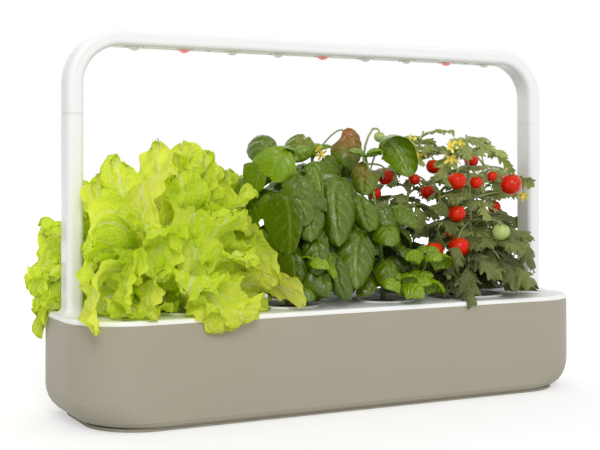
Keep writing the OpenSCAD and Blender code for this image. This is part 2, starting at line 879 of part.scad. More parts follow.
module basil(i) {
    stem = 2.2;
    root = stem + 1.2;
    high = 0.9*basil_h;
    foot = 0.08*high;
    rise = 68;
    bend = 85;
    plant(i, [0.13, 0.33, 0.12], concat(
        [stem_skin([0, 0, seat], [0, 0, high], stem)],
        [for (k = [0:basil_levels - 1], turn = [0:120:240])
            let (
                az = 60*k + turn + 25*i,
                at = [0, 0, foot + k*(high - foot)/basil_levels],
                size = min(basil_leaf*(1 - 0.04*k), leaf_size(room(i, az) - stem - leaf_room, rise, bend))
            )
            leaf_skin(at + turned([root, 0, 0], az), az, size, 0.78*size, rise, bend)]
    ));
}

// Middles of the tomatoes on each plant, from its foot, as shares of its height
fruits = [
    [[-0.153, 0.021, 0.726], [0.037, -0.089, 0.7], [-0.21, -0.079, 0.589],
     [0.184, -0.095, 0.795], [0.147, -0.089, 0.626], [-0.147, -0.032, 0.895]],
    [[-0.142, -0.074, 0.705], [-0.179, -0.074, 0.511], [-0.168, -0.074, 0.305],
     [-0.242, 0.005, 0.279], [0.058, -0.026, 0.716], [0.226, -0.074, 0.674],
     [0.137, -0.1, 0.389]],
    [[-0.132, -0.079, 0.826], [0.021, -0.089, 0.726], [0.084, -0.026, 0.526]]
];

// Direction of each tomato plant's first leaf
first_leaf = [340, 185, 225];

module tomato(i) {
    stem = 2.6;
    root = stem + 0.7;
    stalk_r = 0.9;
    high = 0.98*tomato_h;
    lowest = 0.11*high;
    highest = 0.845*high;
    rise = 45;
    bend = 60;
    own = i - cups + len(fruits);
    plant(i, [0.18, 0.33, 0.15], concat(
        [stem_skin([0, 0, seat], [0, 0, high], stem)],
        [for (k = [0:tomato_leaves - 1])
            let (
                az = golden*k + first_leaf[own],
                at = [0, 0, lowest + (highest - lowest)*k/tomato_leaves],
                size = min(tomato_leaf, leaf_size(room(i, az) - stem - leaf_room, rise, bend))
            )
            leaf_skin(at + turned([root, 0, 0], az), az, size, 0.6*size, rise, bend, 0.3, 2, 8)],
        [for (c = tomato_h*fruits[own])
            let (
                az = atan2(c[1], c[0]),
                tip = c + [0, 0, tomato_r + stalk_r],
                away = norm([c[0], c[1]]) - stem - stalk_r,
                lift = min(0.35*away, high - tip[2] - 2*stalk_r)
            )
            each [ball_skin(c, tomato_r),
                  stem_skin(tip + turned([-away, 0, lift], az), tip, stalk_r)]]
    ));
}

base_sole();
basin();
lid();
for (i = [0:cups - 1]) {
    cup(i);
    pod(i);
    growth_plug(i);
}
wicks();
float_guide();
float();
extension_arm_left();
extension_arm_right();
power_inlet();
contact_pins();
lamp_housing();
contact_pads();
led_board();
led_chips();
lenses_white();
lenses_red();
lamp_cover();
cover_screws();
for (i = [0:2]) {
    lettuce(i);
    basil(i + 3);
    tomato(i + 6);
}
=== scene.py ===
"""Countertop hydroponic garden: the finishes, the plants, and a plain studio round them.

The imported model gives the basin, lid, cups, arms and lamp, which keep their shapes and get
their materials here. The nine plants are modelled here leaf by leaf, and each one rides on the
pod that it grows from. Metres, +Z up, -Y the front.
"""
import math
from dataclasses import dataclass

import bpy
import numpy as np
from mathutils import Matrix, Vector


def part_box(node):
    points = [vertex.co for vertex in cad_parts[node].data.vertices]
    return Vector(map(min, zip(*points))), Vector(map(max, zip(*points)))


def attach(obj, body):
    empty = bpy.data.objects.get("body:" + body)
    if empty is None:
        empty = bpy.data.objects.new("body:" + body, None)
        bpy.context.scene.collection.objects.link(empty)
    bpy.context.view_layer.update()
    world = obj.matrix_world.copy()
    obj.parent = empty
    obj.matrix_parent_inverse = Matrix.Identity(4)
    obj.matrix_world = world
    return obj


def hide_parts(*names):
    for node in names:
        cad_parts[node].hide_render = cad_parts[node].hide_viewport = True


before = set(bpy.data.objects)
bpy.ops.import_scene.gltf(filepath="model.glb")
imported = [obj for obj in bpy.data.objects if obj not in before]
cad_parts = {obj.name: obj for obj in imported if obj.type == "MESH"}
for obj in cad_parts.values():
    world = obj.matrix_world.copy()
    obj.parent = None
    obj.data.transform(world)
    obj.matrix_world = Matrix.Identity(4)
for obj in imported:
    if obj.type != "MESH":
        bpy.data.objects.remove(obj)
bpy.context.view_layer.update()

MM = 0.001
GOLDEN = 137.5
UP = np.array((0.0, 0.0, 1.0))


def of_plant(i, table):
    """The rows of a table that belong to plant i, without their first column."""
    return [row[1:] for row in table if row[0] == i]


def mm(*spot):
    """A point given in millimetres."""
    return np.array(spot)*MM


def placed(name, data):
    """A new object in the scene."""
    thing = bpy.data.objects.new(name, data)
    bpy.context.scene.collection.objects.link(thing)
    return thing


# ---- Sizes read from the frame ----

CUPS = 9

_, basin_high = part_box("basin")
_, lid_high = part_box("lid")
arm_low, arm_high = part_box("extension_arm_left")
# Half the base's length and width, and the radius of its corners, seen from above
HALF_L = basin_high[0]
HALF_W = basin_high[1]
CORNER = 62*MM
LID_TOP = lid_high[2]
ARM_X = abs(arm_low[0] + arm_high[0])/2


def pod_centre(i):
    """Middle of pod i's growth plug, at its top."""
    low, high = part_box(f"growth_plug_{i + 1}")
    return np.array(((low[0] + high[0])/2, (low[1] + high[1])/2, high[2]))


POTS = [pod_centre(i) for i in range(CUPS)]
PITCH = POTS[1][0] - POTS[0][0]


# ---- Materials ----

def rgb(r, g, b):
    """Linear colour, with alpha, of an sRGB colour given from 0 to 255."""
    def linear(c):
        c = c/255
        return c/12.92 if c <= 0.04045 else ((c + 0.055)/1.055)**2.4
    return (linear(r), linear(g), linear(b), 1.0)


def tint(colour, share):
    """A lighter or darker colour, opaque and not past white."""
    return tuple(min(1.0, c*share) for c in colour[:3]) + (1.0,)


class Paint:
    """A material under construction: its nodes, its links and its Principled shader."""

    def __init__(self, name):
        self.material = bpy.data.materials.new(name)
        self.material.use_nodes = True
        self.tree = self.material.node_tree
        self.shader = self.tree.nodes["Principled BSDF"]

    def node(self, kind, **values):
        n = self.tree.nodes.new("ShaderNode" + kind)
        for key, value in values.items():
            setattr(n, key, value)
        return n

    def feed(self, socket, value):
        """Gives an input a number, a colour or the output of another node."""
        if hasattr(value, "links"):
            self.tree.links.new(value, socket)
        else:
            socket.default_value = value

    def set(self, **values):
        for key, value in values.items():
            self.feed(self.shader.inputs[key.replace("_", " ")], value)

    def math(self, operation, *values, clamp=False):
        n = self.node("Math", operation=operation, use_clamp=clamp)
        for socket, value in zip(n.inputs, values):
            self.feed(socket, value)
        return n.outputs[0]

    def plus(self, a, b, clamp=False):
        return self.math("ADD", a, b, clamp=clamp)

    def minus(self, a, b):
        return self.math("SUBTRACT", a, b)

    def times(self, a, b):
        return self.math("MULTIPLY", a, b)

    def blade(self):
        """Where a point lies on its leaf or fruit: across it and along it, each from 0 to 1."""
        split = self.node("SeparateXYZ")
        self.feed(split.inputs[0], self.node("UVMap", uv_map="Blade").outputs[0])
        return split.outputs[0], split.outputs[1]

    def attribute(self, name):
        return self.node("Attribute", attribute_name=name).outputs["Fac"]

    def noise(self, scale, detail=3.0, rough=0.5, stretch=None):
        place = self.node("TexCoord").outputs["Object"]
        if stretch:
            mapping = self.node("Mapping")
            mapping.inputs["Scale"].default_value = stretch
            self.feed(mapping.inputs["Vector"], place)
            place = mapping.outputs[0]
        n = self.node("TexNoise")
        for key, value in (("Scale", scale), ("Detail", detail), ("Roughness", rough),
                           ("Vector", place)):
            self.feed(n.inputs[key], value)
        return n.outputs["Fac"]

    def spread(self, value, low, high, start=0.0, end=1.0):
        """Maps value from start..end to low..high."""
        n = self.node("MapRange")
        for socket, number in zip(n.inputs[:5], (value, start, end, low, high)):
            self.feed(socket, number)
        return n.outputs[0]

    def mix(self, factor, a, b):
        n = self.node("Mix", data_type="RGBA")
        for k, value in ((0, factor), (6, a), (7, b)):
            self.feed(n.inputs[k], value)
        return n.outputs[2]

    def bump(self, height, distance):
        n = self.node("Bump")
        for key, value in (("Strength", 1.0), ("Distance", distance), ("Height", height)):
            self.feed(n.inputs[key], value)
        self.set(Normal=n.outputs[0])

    def surface(self, kind, other, factor=None):
        """Joins the shader with another one by a node of the given kind, and shows the two."""
        both = self.node(kind)
        if factor is not None:
            both.inputs[0].default_value = factor
        self.feed(both.inputs[-2], self.shader.outputs[0])
        self.feed(both.inputs[-1], other)
        self.feed(self.tree.nodes["Material Output"].inputs["Surface"], both.outputs[0])


def plastic(name, colour, rough, grain=1400.0, depth=0.00003, drift=0.05, coat=0.0):
    """Moulded plastic: a fine grain, slightly uneven gloss and a faint drift of its colour."""
    p = Paint(name)
    p.set(Base_Color=p.mix(p.noise(9.0, 4.0), tint(colour, 1 - drift), tint(colour, 1 + drift)),
          Roughness=p.spread(p.noise(35.0, 5.0), rough - 0.06, rough + 0.06), Coat_Weight=coat)
    p.bump(p.noise(grain, 2.0), depth)
    return p.material


def metal(name, colour, rough):
    """Bare metal with fine turning marks."""
    p = Paint(name)
    marks = p.noise(500.0, 3.0, stretch=(1.0, 1.0, 12.0))
    p.set(Base_Color=p.mix(marks, tint(colour, 0.8), colour), Metallic=1.0,
          Roughness=p.spread(marks, rough - 0.05, rough + 0.1))
    p.bump(marks, 0.00002)
    return p.material


def fibre(name, dark, light, scale):
    """Felt or pressed fibre: a tangle of dark and light strands."""
    p = Paint(name)
    strands = p.noise(scale, 8.0, 0.7)
    p.set(Base_Color=p.mix(p.spread(strands, 0.0, 1.0, 0.35, 0.65), dark, light),
          Roughness=0.95)
    p.bump(strands, 0.0006)
    return p.material


def rubber(name, colour):
    """Matt rubber with a faint dusty bloom."""
    p = Paint(name)
    bloom = p.noise(60.0, 6.0, 0.6)
    p.set(Base_Color=p.mix(bloom, colour, tint(colour, 1.7)),
          Roughness=p.spread(bloom, 0.6, 0.85))
    p.bump(p.noise(900.0), 0.00005)
    return p.material


def lens(name, colour, glow, strength):
    """Moulded lens over a lit diode: clear skin, faint glow, ripples inside."""
    p = Paint(name)
    ripple = p.noise(700.0, 2.0)
    p.set(Base_Color=p.mix(ripple, colour, tint(colour, 1.25)), Roughness=0.18,
          Emission_Color=glow, Emission_Strength=strength, Coat_Weight=0.6)
    p.bump(ripple, 0.00006)
    return p.material


BROWN = rgb(172, 88, 42)


def leaf_paint(name, blade, dark, light, vein, rough, vein_share, through, blotch,
               speckle=60.0, rib_width=0.0, crinkle=(220.0, 0.0012), gloss=0.4, mottle=0.2):
    """Leaf tissue. The blade's own coordinates carry the veins, and each leaf has its tone and its
    flush of brown. The tone is partly the leaf's own and partly painted shade: low leaves and
    leaves in shade are set darker, high ones lighter. blotch and speckle are scales, crinkle is
    a scale and a depth, and through is the share of the light that passes."""
    p = Paint(name)
    side, along = p.blade()
    across = p.math("ABSOLUTE", p.minus(p.times(side, 2.0), 1.0))
    foot = p.math("POWER", p.minus(1.0, along), 2.0)
    rib = p.spread(p.minus(across, p.times(foot, rib_width)), 1.0, 0.0, 0.02, 0.09)
    phase = p.minus(p.times(along, float(blade.pairs)), p.times(across, blade.slant))
    off_vein = p.math("ABSOLUTE", p.minus(p.math("FRACT", phase), 0.5))
    side_vein = p.spread(off_vein, 1.0, 0.0, 0.02, 0.11)
    fade = p.minus(1.0, p.math("POWER", across, 2.0))
    veins = p.math("MAXIMUM", rib, p.times(p.times(side_vein, fade), 0.7))
    cloud = p.noise(blotch, 4.0, 0.6)
    net = p.noise(speckle*10, 5.0, 0.6)
    # painted shade: the leaf's tone is set low on low and shaded leaves, which pulls them to the
    # dark colour
    level = p.plus(p.times(p.attribute("tone"), 0.62), p.times(cloud, 0.36))
    level = p.plus(level, p.times(p.minus(net, 0.5), mottle), clamp=True)
    colour = p.mix(p.times(veins, vein_share), p.mix(level, dark, light), vein)
    colour = p.mix(p.attribute("flush"), colour, BROWN)
    p.set(Base_Color=colour, Roughness=p.spread(cloud, rough - 0.08, rough + 0.1),
          Specular_IOR_Level=gloss)
    fold_scale, fold_depth = crinkle
    folds = p.math("ABSOLUTE", p.minus(p.noise(fold_scale, 2.0, 0.5), 0.5))
    folds = p.minus(p.times(folds, 3.0), p.times(veins, 0.5))
    p.bump(p.plus(folds, p.times(net, 0.25)), fold_depth)
    back_light = p.node("BsdfTranslucent")
    p.feed(back_light.inputs["Color"], colour)
    p.surface("MixShader", back_light.outputs[0], through)
    return p.material


def stem_paint(name, dark, light):
    """Green stem, paler in streaks along its length."""
    p = Paint(name)
    streak = p.noise(220.0, 4.0, 0.6, stretch=(1.0, 1.0, 0.15))
    p.set(Base_Color=p.mix(streak, dark, light), Roughness=0.5)
    p.bump(streak, 0.0003)
    return p.material


def fruit_paint(name, body, crown):
    """Smooth, glossy fruit skin, paler towards the stalk."""
    p = Paint(name)
    _, along = p.blade()
    cloud = p.noise(80.0, 3.0)
    shade = p.times(p.spread(along, 0.0, 1.0, 0.62, 1.0), p.spread(cloud, 0.5, 1.0))
    p.set(Base_Color=p.mix(shade, body, crown), Roughness=p.spread(cloud, 0.12, 0.24),
          Specular_IOR_Level=0.2)
    p.bump(p.noise(1500.0, 2.0), 0.00002)
    return p.material


def petal_paint(name, inner, outer):
    """Thin yellow petals, deeper in colour at their foot."""
    p = Paint(name)
    _, along = p.blade()
    veil = p.plus(along, p.times(p.noise(900.0), 0.3), clamp=True)
    p.set(Base_Color=p.mix(veil, inner, outer), Roughness=0.55)
    p.bump(p.noise(1200.0), 0.0001)
    return p.material


# The finish of each CAD node, by the start of its name. The plants have none, because what is
# modelled below replaces them
FINISH = {
    # painted shade: the sole stands in for the shadow gap under the basin and takes that gap's
    # dark beige
    "base_sole": rubber("sole_rubber_painted_shade", rgb(138, 134, 118)),
    "basin": plastic("basin_plastic", rgb(166, 159, 141), 0.5, drift=0.025),
    "lid": plastic("lid_plastic", rgb(246, 246, 244), 0.42),
    "cup": plastic("cup_plastic", rgb(238, 238, 237), 0.38),
    "wicks": fibre("wick_felt", rgb(205, 200, 186), rgb(238, 235, 226), 900.0),
    "float_guide": plastic("guide_plastic", rgb(236, 236, 234), 0.45),
    "float": plastic("float_plastic", rgb(240, 240, 238), 0.25, coat=0.3),
    "extension_arm": plastic("arm_plastic", rgb(242, 242, 242), 0.34, drift=0.015),
    "power_inlet": plastic("inlet_plastic", rgb(24, 24, 25), 0.3),
    "contact": metal("contact_brass", rgb(212, 176, 96), 0.3),
    "lamp_housing": plastic("lamp_plastic", rgb(242, 242, 242), 0.34, drift=0.015),
    "led_board": plastic("board_lacquer", rgb(222, 224, 218), 0.35),
    "led_chips": lens("chip_phosphor", rgb(235, 200, 70), rgb(255, 240, 190), 0.4),
    "lenses_white": lens("lens_clear", rgb(222, 226, 222), rgb(240, 244, 240), 0.12),
    "lenses_red": lens("lens_red", rgb(238, 150, 156), rgb(255, 130, 140), 0.25),
    "lamp_cover": plastic("cover_plastic", rgb(216, 216, 202), 0.4),
    "cover_screws": metal("screw_steel", rgb(172, 174, 176), 0.28),
    "pod": plastic("pod_plastic", rgb(214, 211, 200), 0.6, grain=700.0, depth=0.0001),
    "growth_plug": fibre("plug_peat", rgb(38, 28, 19), rgb(92, 72, 50), 420.0),
}


for name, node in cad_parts.items():
    starts = [start for start in FINISH if name.startswith(start)]
    if starts:
        for place in node.material_slots:
            place.material = FINISH[max(starts, key=len)]


# ---- Building leaves, stems and fruit ----

class Growth:
    """Collects the surfaces of one kind on one plant and turns them into one object."""

    def __init__(self):
        self.parts = []
        self.count = 0  # of points

    def add(self, grid, uv, closed=False, tone=0.5, flush=0.0):
        """A rows x columns grid of points; closed joins its last column to its first."""
        rows, cols = grid.shape[:2]
        index = self.count + np.arange(rows*cols).reshape(rows, cols)
        if closed:
            index = np.concatenate([index, index[:, :1]], axis=1)
        quads = np.stack([index[:-1, :-1], index[:-1, 1:], index[1:, 1:], index[1:, :-1]], axis=-1)
        flushes = np.broadcast_to(flush, (rows, cols)).reshape(-1).astype(float)
        self.parts.append((grid.reshape(-1, 3), quads.reshape(-1, 4), uv.reshape(-1, 2),
                           np.full(rows*cols, tone), flushes))
        self.count += rows*cols

    def build(self, name, material, body, slot, room=None):
        """Makes the object, which rides on body; room is a function that fits its points."""
        points, faces, uvs, tones_and_shade, flushes = map(np.concatenate, zip(*self.parts))
        if room:
            points = room(points)
        mesh = bpy.data.meshes.new(name)
        mesh.from_pydata(points.tolist(), [], faces.tolist())
        uv = uvs[faces.reshape(-1)].reshape(-1)
        mesh.uv_layers.new(name="Blade").data.foreach_set("uv", uv)
        for key, values in (("tone", tones_and_shade), ("flush", flushes)):
            mesh.attributes.new(key, "FLOAT", "POINT").data.foreach_set("value", values)
        mesh.shade_smooth()
        mesh.materials.append(material)
        piece = placed(name, mesh)
        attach(piece, body)
        return piece


def heading(az):
    """The level direction at az degrees: 0 is +X, 90 is +Y."""
    a = math.radians(az)
    return np.array((math.cos(a), math.sin(a), 0.0))


# The plants stand with their front to the room, a little to the left; the photograph is taken
# from further to the left
ROOM_SIDE = heading(248)
TO_VIEWER = heading(235)


def arc_path(base, az, length, rise, fall, rows, power=1.0):
    """A midrib that leaves base at angle rise and ends at angle fall, in direction az."""
    t = (np.arange(rows) + 0.5)/rows
    pitch = np.radians(rise + (fall - rise)*t**power)
    out = np.concatenate([[0.0], np.cumsum(np.cos(pitch))])*length/rows
    up = np.concatenate([[0.0], np.cumsum(np.sin(pitch))])*length/rows
    return base + np.outer(out, heading(az)) + np.outer(up, UP)


def curve_path(a, b, c, rows):
    """A quadratic curve from a to c that is drawn towards b."""
    t = np.linspace(0, 1, rows + 1)[:, None]
    return (1 - t)**2*a + 2*t*(1 - t)*b + t**2*c


def path_through(start, knee, tip, rows):
    """A curve from start to tip, in equal steps, that passes through knee halfway."""
    path = curve_path(start, 2*knee - (start + tip)/2, tip, 6*rows)
    run = np.concatenate([[0.0], np.cumsum(np.linalg.norm(np.diff(path, axis=0), axis=1))])
    steps = np.linspace(0, run[-1], rows + 1)
    return np.stack([np.interp(steps, run, path[:, k]) for k in range(3)], axis=1)


def azimuth(a, b):
    """Direction in degrees, seen from above, from a to b."""
    return math.degrees(math.atan2(b[1] - a[1], b[0] - a[0]))


def merged(*parts):
    """Coordinates in arrays that broadcast together, as one array of points."""
    return np.stack(np.broadcast_arrays(*parts), axis=-1)


def directions(path):
    """The direction of path at each of its points."""
    step = np.gradient(path, axis=0)
    return step/np.linalg.norm(step, axis=1)[:, None]


def tube(growth, path, radii, sides):
    """A round stem along path; radii are at its start and its end."""
    start, end = radii
    t = np.linspace(0, 1, len(path))
    along = directions(path)
    across = np.cross(along, (0.31, 0.67, 0.67))  # with a direction that no stem takes
    across /= np.linalg.norm(across, axis=1)[:, None]
    other = np.cross(along, across)
    turn = np.arange(sides)*2*math.pi/sides
    r = (start + (end - start)*t)[:, None, None]
    ring = np.cos(turn)[None, :, None]*across[:, None] + np.sin(turn)[None, :, None]*other[:, None]
    grid = path[:, None] + r*ring
    caps = [np.repeat(path[k][None, None], sides, axis=1) for k in (0, -1)]
    grid = np.concatenate([caps[0], grid, caps[1]])
    v = np.concatenate([[0.0], t, [1.0]])
    uv = merged(np.linspace(0, 1, sides)[None], v[:, None])
    growth.add(grid, uv, closed=True)


@dataclass
class Blade:
    """The form of a leaf: its outline and how its surface bends, swells and frills."""

    outline: object
    rows: int
    cols: int
    cup: float  # bend from side to side
    frill: float = 0.0  # size of the waves along the rim
    waves: tuple = ()  # how many of them, coarse and fine
    warp: float = 0.0  # slow waves of the whole blade
    puff: float = 0.0  # swelling between the side veins
    pairs: int = 6  # of side veins
    slant: float = 1.5  # of the side veins
    blister: float = 0.0  # height of the crinkles
    grain: float = 0.018  # spacing of the crinkles
    sweep: float = 0.0  # how far the rim is drawn forward

    def grow(self, growth, path, az, width, rng, roll=0.0, twist=0.0, tone=0.5, flush=0.0,
             turned=0.0):
        """Adds one leaf of this form along path, which lies in a plane of direction az.
        The share turned says how far the blade has turned about its midrib to the room."""
        t = np.linspace(0, 1, len(path))
        u = np.linspace(-1, 1, self.cols + 1)
        along = directions(path)
        level = np.cross(UP, heading(az))
        upper = np.cross(along, level)
        upper /= np.linalg.norm(upper, axis=1)[:, None]
        if turned:
            middle = upper[len(path)//2]
            full = math.degrees(math.atan(-(level @ ROOM_SIDE)/(middle @ ROOM_SIDE + 1e-9)))
            roll = roll + turned*full
        turn = np.radians(roll + twist*t)[:, None]
        side = np.cos(turn)*level + np.sin(turn)*upper
        normal = np.cross(along, side)
        length = np.linalg.norm(np.diff(path, axis=0), axis=1).sum()
        start = rng.uniform(0, 6.28, 12)
        h, tt, uu = (width/2*self.outline(t))[:, None], t[:, None], u[None]
        edge = np.abs(uu)
        out = h*np.sin(self.cup*uu)/self.cup
        lift = h*(np.cos(self.cup*uu) - 1)/abs(self.cup)*math.copysign(1, self.cup)
        shift = self.sweep*h*edge
        if self.frill:
            wave, slide = self.frills(h, tt, uu, width, start)
            lift = lift + wave
            out = out + slide*np.sign(uu)*np.minimum(1.0, 3*edge)
            shift = shift + 0.8*slide*np.clip(tt - 0.35, 0, 1)
        lift = lift + self.warp*width/2*np.sin(2*math.pi*(0.8*tt + 0.25*uu) + start[6])
        phase = self.pairs*tt - self.slant*edge
        swell = np.abs(np.sin(math.pi*phase))**0.7*np.minimum(1.0, 6*edge)*(1 - edge**4)
        lift = lift + self.puff*h*swell
        if self.blister:
            lift = lift + self.blisters(h, tt, uu, width, length, start)
        grid = path[:, None] + side[:, None]*out[..., None] + normal[:, None]*lift[..., None]
        grid = grid + along[:, None]*shift[..., None]
        uv = merged((uu + 1)/2, tt)
        if callable(flush):
            flush = flush(tt, uu)
        growth.add(grid, uv, tone=tone, flush=flush)

    def frills(self, h, tt, uu, width, start):
        """How far the waves of the rim lift it, and how far they slide it outwards."""
        edge = np.abs(uu)
        rim = 1 - (1 - edge**2.4)*(1 - np.clip(tt, 0, 1)**6)
        rim = rim*np.minimum(1.0, 3.5*tt)
        coarse, fine = (n*(2*math.pi*(tt + 0.3*(1 - edge)*tt**3) + 0.5*k*uu) + start[k]
                        + 1.1*np.sin(n*(0.9*tt + 0.7*uu) + start[k + 2])
                        for k, n in enumerate(self.waves))
        size = self.frill*(0.3*width/2 + 0.7*h)
        wave = size*(0.8*rim*np.sin(coarse) + 0.4*rim**3*np.sin(fine))
        slide = size*(0.3*rim*np.cos(coarse) + 0.2*rim**3*np.cos(fine))
        return wave, slide

    def blisters(self, h, tt, uu, width, length, start):
        """The crinkles of a savoyed leaf: ridges in three directions, faint at rib and foot."""
        edge = np.abs(uu)
        x, y = h*uu*2*math.pi/self.grain, length*tt*2*math.pi/self.grain
        bump = (np.abs(np.sin(0.50*x + 0.31*y + 0.9*np.sin(0.33*y + start[7]) + start[8]))
                + np.abs(np.sin(-0.42*x + 0.37*y + 0.8*np.sin(0.41*x + start[9])))
                + 0.6*np.abs(np.sin(0.93*x - 0.71*y + start[10])) - 1.4)
        inner = np.minimum(1.0, 2.5*tt)*np.minimum(1.0, 5*edge + 0.2)*np.minimum(1, 3*h/width)
        return self.blister*bump*inner


# Half the width of a leaf, as a share of its greatest, at the share t of its length

def outline_lettuce(t):
    spread = 0.2 + 0.8*np.sin(np.clip(t/0.62, 0, 1)*math.pi/2)**1.15
    end = np.clip((t - 0.62)/0.38, 0, 1)
    return spread*np.sqrt(np.clip(1 - end**2.4, 0.01, 1))


def outline_ovate(t):
    return np.clip(np.sin(math.pi*np.clip(t, 0, 1)**0.92), 0, 1)**0.50*0.985 + 0.015


def outline_lobed(t):
    body = np.clip(np.sin(math.pi*np.clip(t, 0, 1)**0.8), 0, 1)**0.7
    saw = (3.4*t + 0.1) % 1.0
    return body*(0.30 + 0.70*np.clip(saw + 0.15, 0, 1)**1.1) + 0.02


def outline_sepal(t):
    return np.clip(np.sin(math.pi*t**0.75), 0, 1)**0.9 + 0.03


# ---- Room for each plant ----

def beyond_base(x, y):
    """How far a point lies outside the base's outline, seen from above."""
    dx = np.maximum(0, np.abs(x) - (HALF_L - CORNER))
    dy = np.maximum(0, np.abs(y) - (HALF_W - CORNER))
    return np.hypot(dx, dy) - CORNER


# Where the wall stands between a plant and the next in its row, when it isn't midway
SHARED_WALL = {(3, 5): -0.033}
WALL_GAP = 0.0006
# Outermost reach of the leaves to the left, to the right, and to the front and back
LEFT_REACH, RIGHT_REACH, DEEP_REACH = -0.3175, 0.294, 0.109
# Normal of the wall between the front lettuce, which spreads over the lid, and the first basil
LETTUCE_TO_BASIL = np.array((0.873, 0.489))


def walls_of(i):
    """Upright walls that keep plant i off its neighbours when it is lifted, and within its
    outermost
    reach: each is an outward normal and a point on the wall."""
    x, y = POTS[i][:2]
    row = math.copysign(1, y)
    walls = [((0, -row), (x, row*WALL_GAP))]
    for side in (1, -1):
        neighbour = i + 2*side
        if (i, neighbour) in ((1, 3), (3, 1)):
            middle = (POTS[1][0] + POTS[3][0])/2 - side*WALL_GAP
            walls.append((side*LETTUCE_TO_BASIL, (middle, 0.0)))
        elif 0 <= neighbour < CUPS:
            wall = SHARED_WALL.get((min(i, neighbour), max(i, neighbour)), x + side*PITCH)
            walls.append(((side, 0), (wall - side*WALL_GAP, y)))
    if i < 2:
        walls.append(((-1, 0), (LEFT_REACH, y)))
    if i > CUPS - 3:
        walls.append(((1, 0), (RIGHT_REACH, y)))
    walls.append(((0, row), (x, row*DEEP_REACH)))
    return [(np.array(n, float), np.array(p, float)) for n, p in walls]


def space(i, az):
    """Free distance from pot i's middle to the nearest wall in direction az."""
    ahead = heading(az)[:2]
    return min((spot - POTS[i][:2]) @ normal/max(ahead @ normal, 0.05)
               for normal, spot in walls_of(i))


def held_back(d, margin):
    """The distance d to a wall, eased within the margin so that it never reaches 0."""
    return np.where(d < margin, margin*np.exp((d - margin)/margin), d)


# Half the width and depth kept free for an arm's leg, how much more its flared foot takes, how
# high that foot gets when the arms are pulled out, and over what length each of these fades
ARM_WIDE, ARM_DEEP, FOOT_FLARE = 0.0095, 0.015, 0.007
FOOT_LIFTED = LID_TOP + 0.028
FOOT_FADE, ARM_FADE = 0.015, 0.022
# How far leaves lie above the lid and hang off its edge, and how near the middle of their own
# cup they may go down to the plug
ON_LID, OFF_EDGE, CUP_MOUTH = 0.0026, 0.003, 0.021


def off_arm(p, i, margin):
    """Moves the points p of plant i to the front or the back of the arm next to it."""
    row = math.copysign(1, POTS[i][1])
    away = np.abs(p[:, 0] - (-ARM_X if i < 2 else ARM_X))
    foot = np.clip((FOOT_LIFTED + FOOT_FADE - p[:, 2])/FOOT_FADE, 0, 1)
    near = np.clip(1 - (away - ARM_WIDE - FOOT_FLARE*foot)/ARM_FADE, 0, 1)
    least = (ARM_DEEP + FOOT_FLARE*foot)*near
    d = held_back(row*p[:, 1] - least, margin)
    p[:, 1] = np.where(near > 0, row*(least + d), p[:, 1])


def onto_lid(p, i):
    """Lays the points p of plant i on the lid, or over its edge."""
    out = beyond_base(p[:, 0], p[:, 1])
    rest = LID_TOP + ON_LID
    inner = np.hypot(p[:, 0] - POTS[i][0], p[:, 1] - POTS[i][1]) < CUP_MOUTH
    floor = np.where(inner, POTS[i][2], rest)
    p[:, 2] = np.where((out < 0) & (p[:, 2] < floor), floor, p[:, 2])
    edge = (out >= 0) & (out < OFF_EDGE) & (p[:, 2] < rest)
    push = np.where(edge, OFF_EDGE - out, 0.0)
    straight = np.abs(p[:, 0]) < HALF_L - CORNER
    p[:, 1] += np.where(straight, push*np.sign(p[:, 1]), 0.0)
    centre = np.sign(p[:, :2])*np.array((HALF_L - CORNER, HALF_W - CORNER))
    ray = p[:, :2] - centre
    ray /= np.linalg.norm(ray, axis=1)[:, None] + 1e-9
    p[:, :2] += np.where(straight, 0.0, push)[:, None]*ray


def room_of(i, margin=0.010):
    """A function that keeps points inside plant i's walls, off the arm and above the lid."""
    walls = walls_of(i)

    def fit(points):
        p = points.copy()
        if i < 2 or i > CUPS - 3:
            off_arm(p, i, margin)
        for normal, spot in walls:
            d = (spot - p[:, :2]) @ normal
            p[:, :2] += (d - held_back(d, margin))[:, None]*normal
        onto_lid(p, i)
        return p

    return fit


# How high the main stem of each basil and tomato plant goes, and how far it leans on the way
STEMS = {3: (0.264, 0.0, 0.0), 4: (0.268, 0.004, 0.0), 5: (0.262, -0.022, 0.0),
         6: (0.296, 0.032, -0.004), 7: (0.290, -0.014, -0.010), 8: (0.256, 0.004, 0.0)}


def stem_point(i, z):
    """The middle of plant i's main stem at height z."""
    top, lean_x, lean_y = STEMS[i]
    share = (z - POTS[i][2])/(top - POTS[i][2])
    return np.array((POTS[i][0] + lean_x*share**2, POTS[i][1] + lean_y*share**2, z))


# Side stems: plant, height of the foot on the main stem, then, in millimetres, the point
# halfway along and the tip
SIDE_STEMS = [(6, 0.140, (70, 25, 235), (78, 24, 297))]


def stem_paths(i):
    """The middle lines of plant i's main stem and side stems."""
    heights = np.linspace(POTS[i][2] - 0.001, STEMS[i][0], 16)
    paths = [np.array([stem_point(i, z) for z in heights])]
    for height, knee, tip in of_plant(i, SIDE_STEMS):
        paths.append(path_through(stem_point(i, height), mm(*knee), mm(*tip), 16))
    return paths


def nearest_stem(i, spot):
    """The point on plant i's stems that is nearest to spot."""
    points = np.concatenate(stem_paths(i))
    return points[np.argmin(np.linalg.norm(points - spot, axis=1))]


def main_stems(stems, i, radii):
    for path in stem_paths(i):
        tube(stems, path, radii, 8)


# ---- Lettuce ----

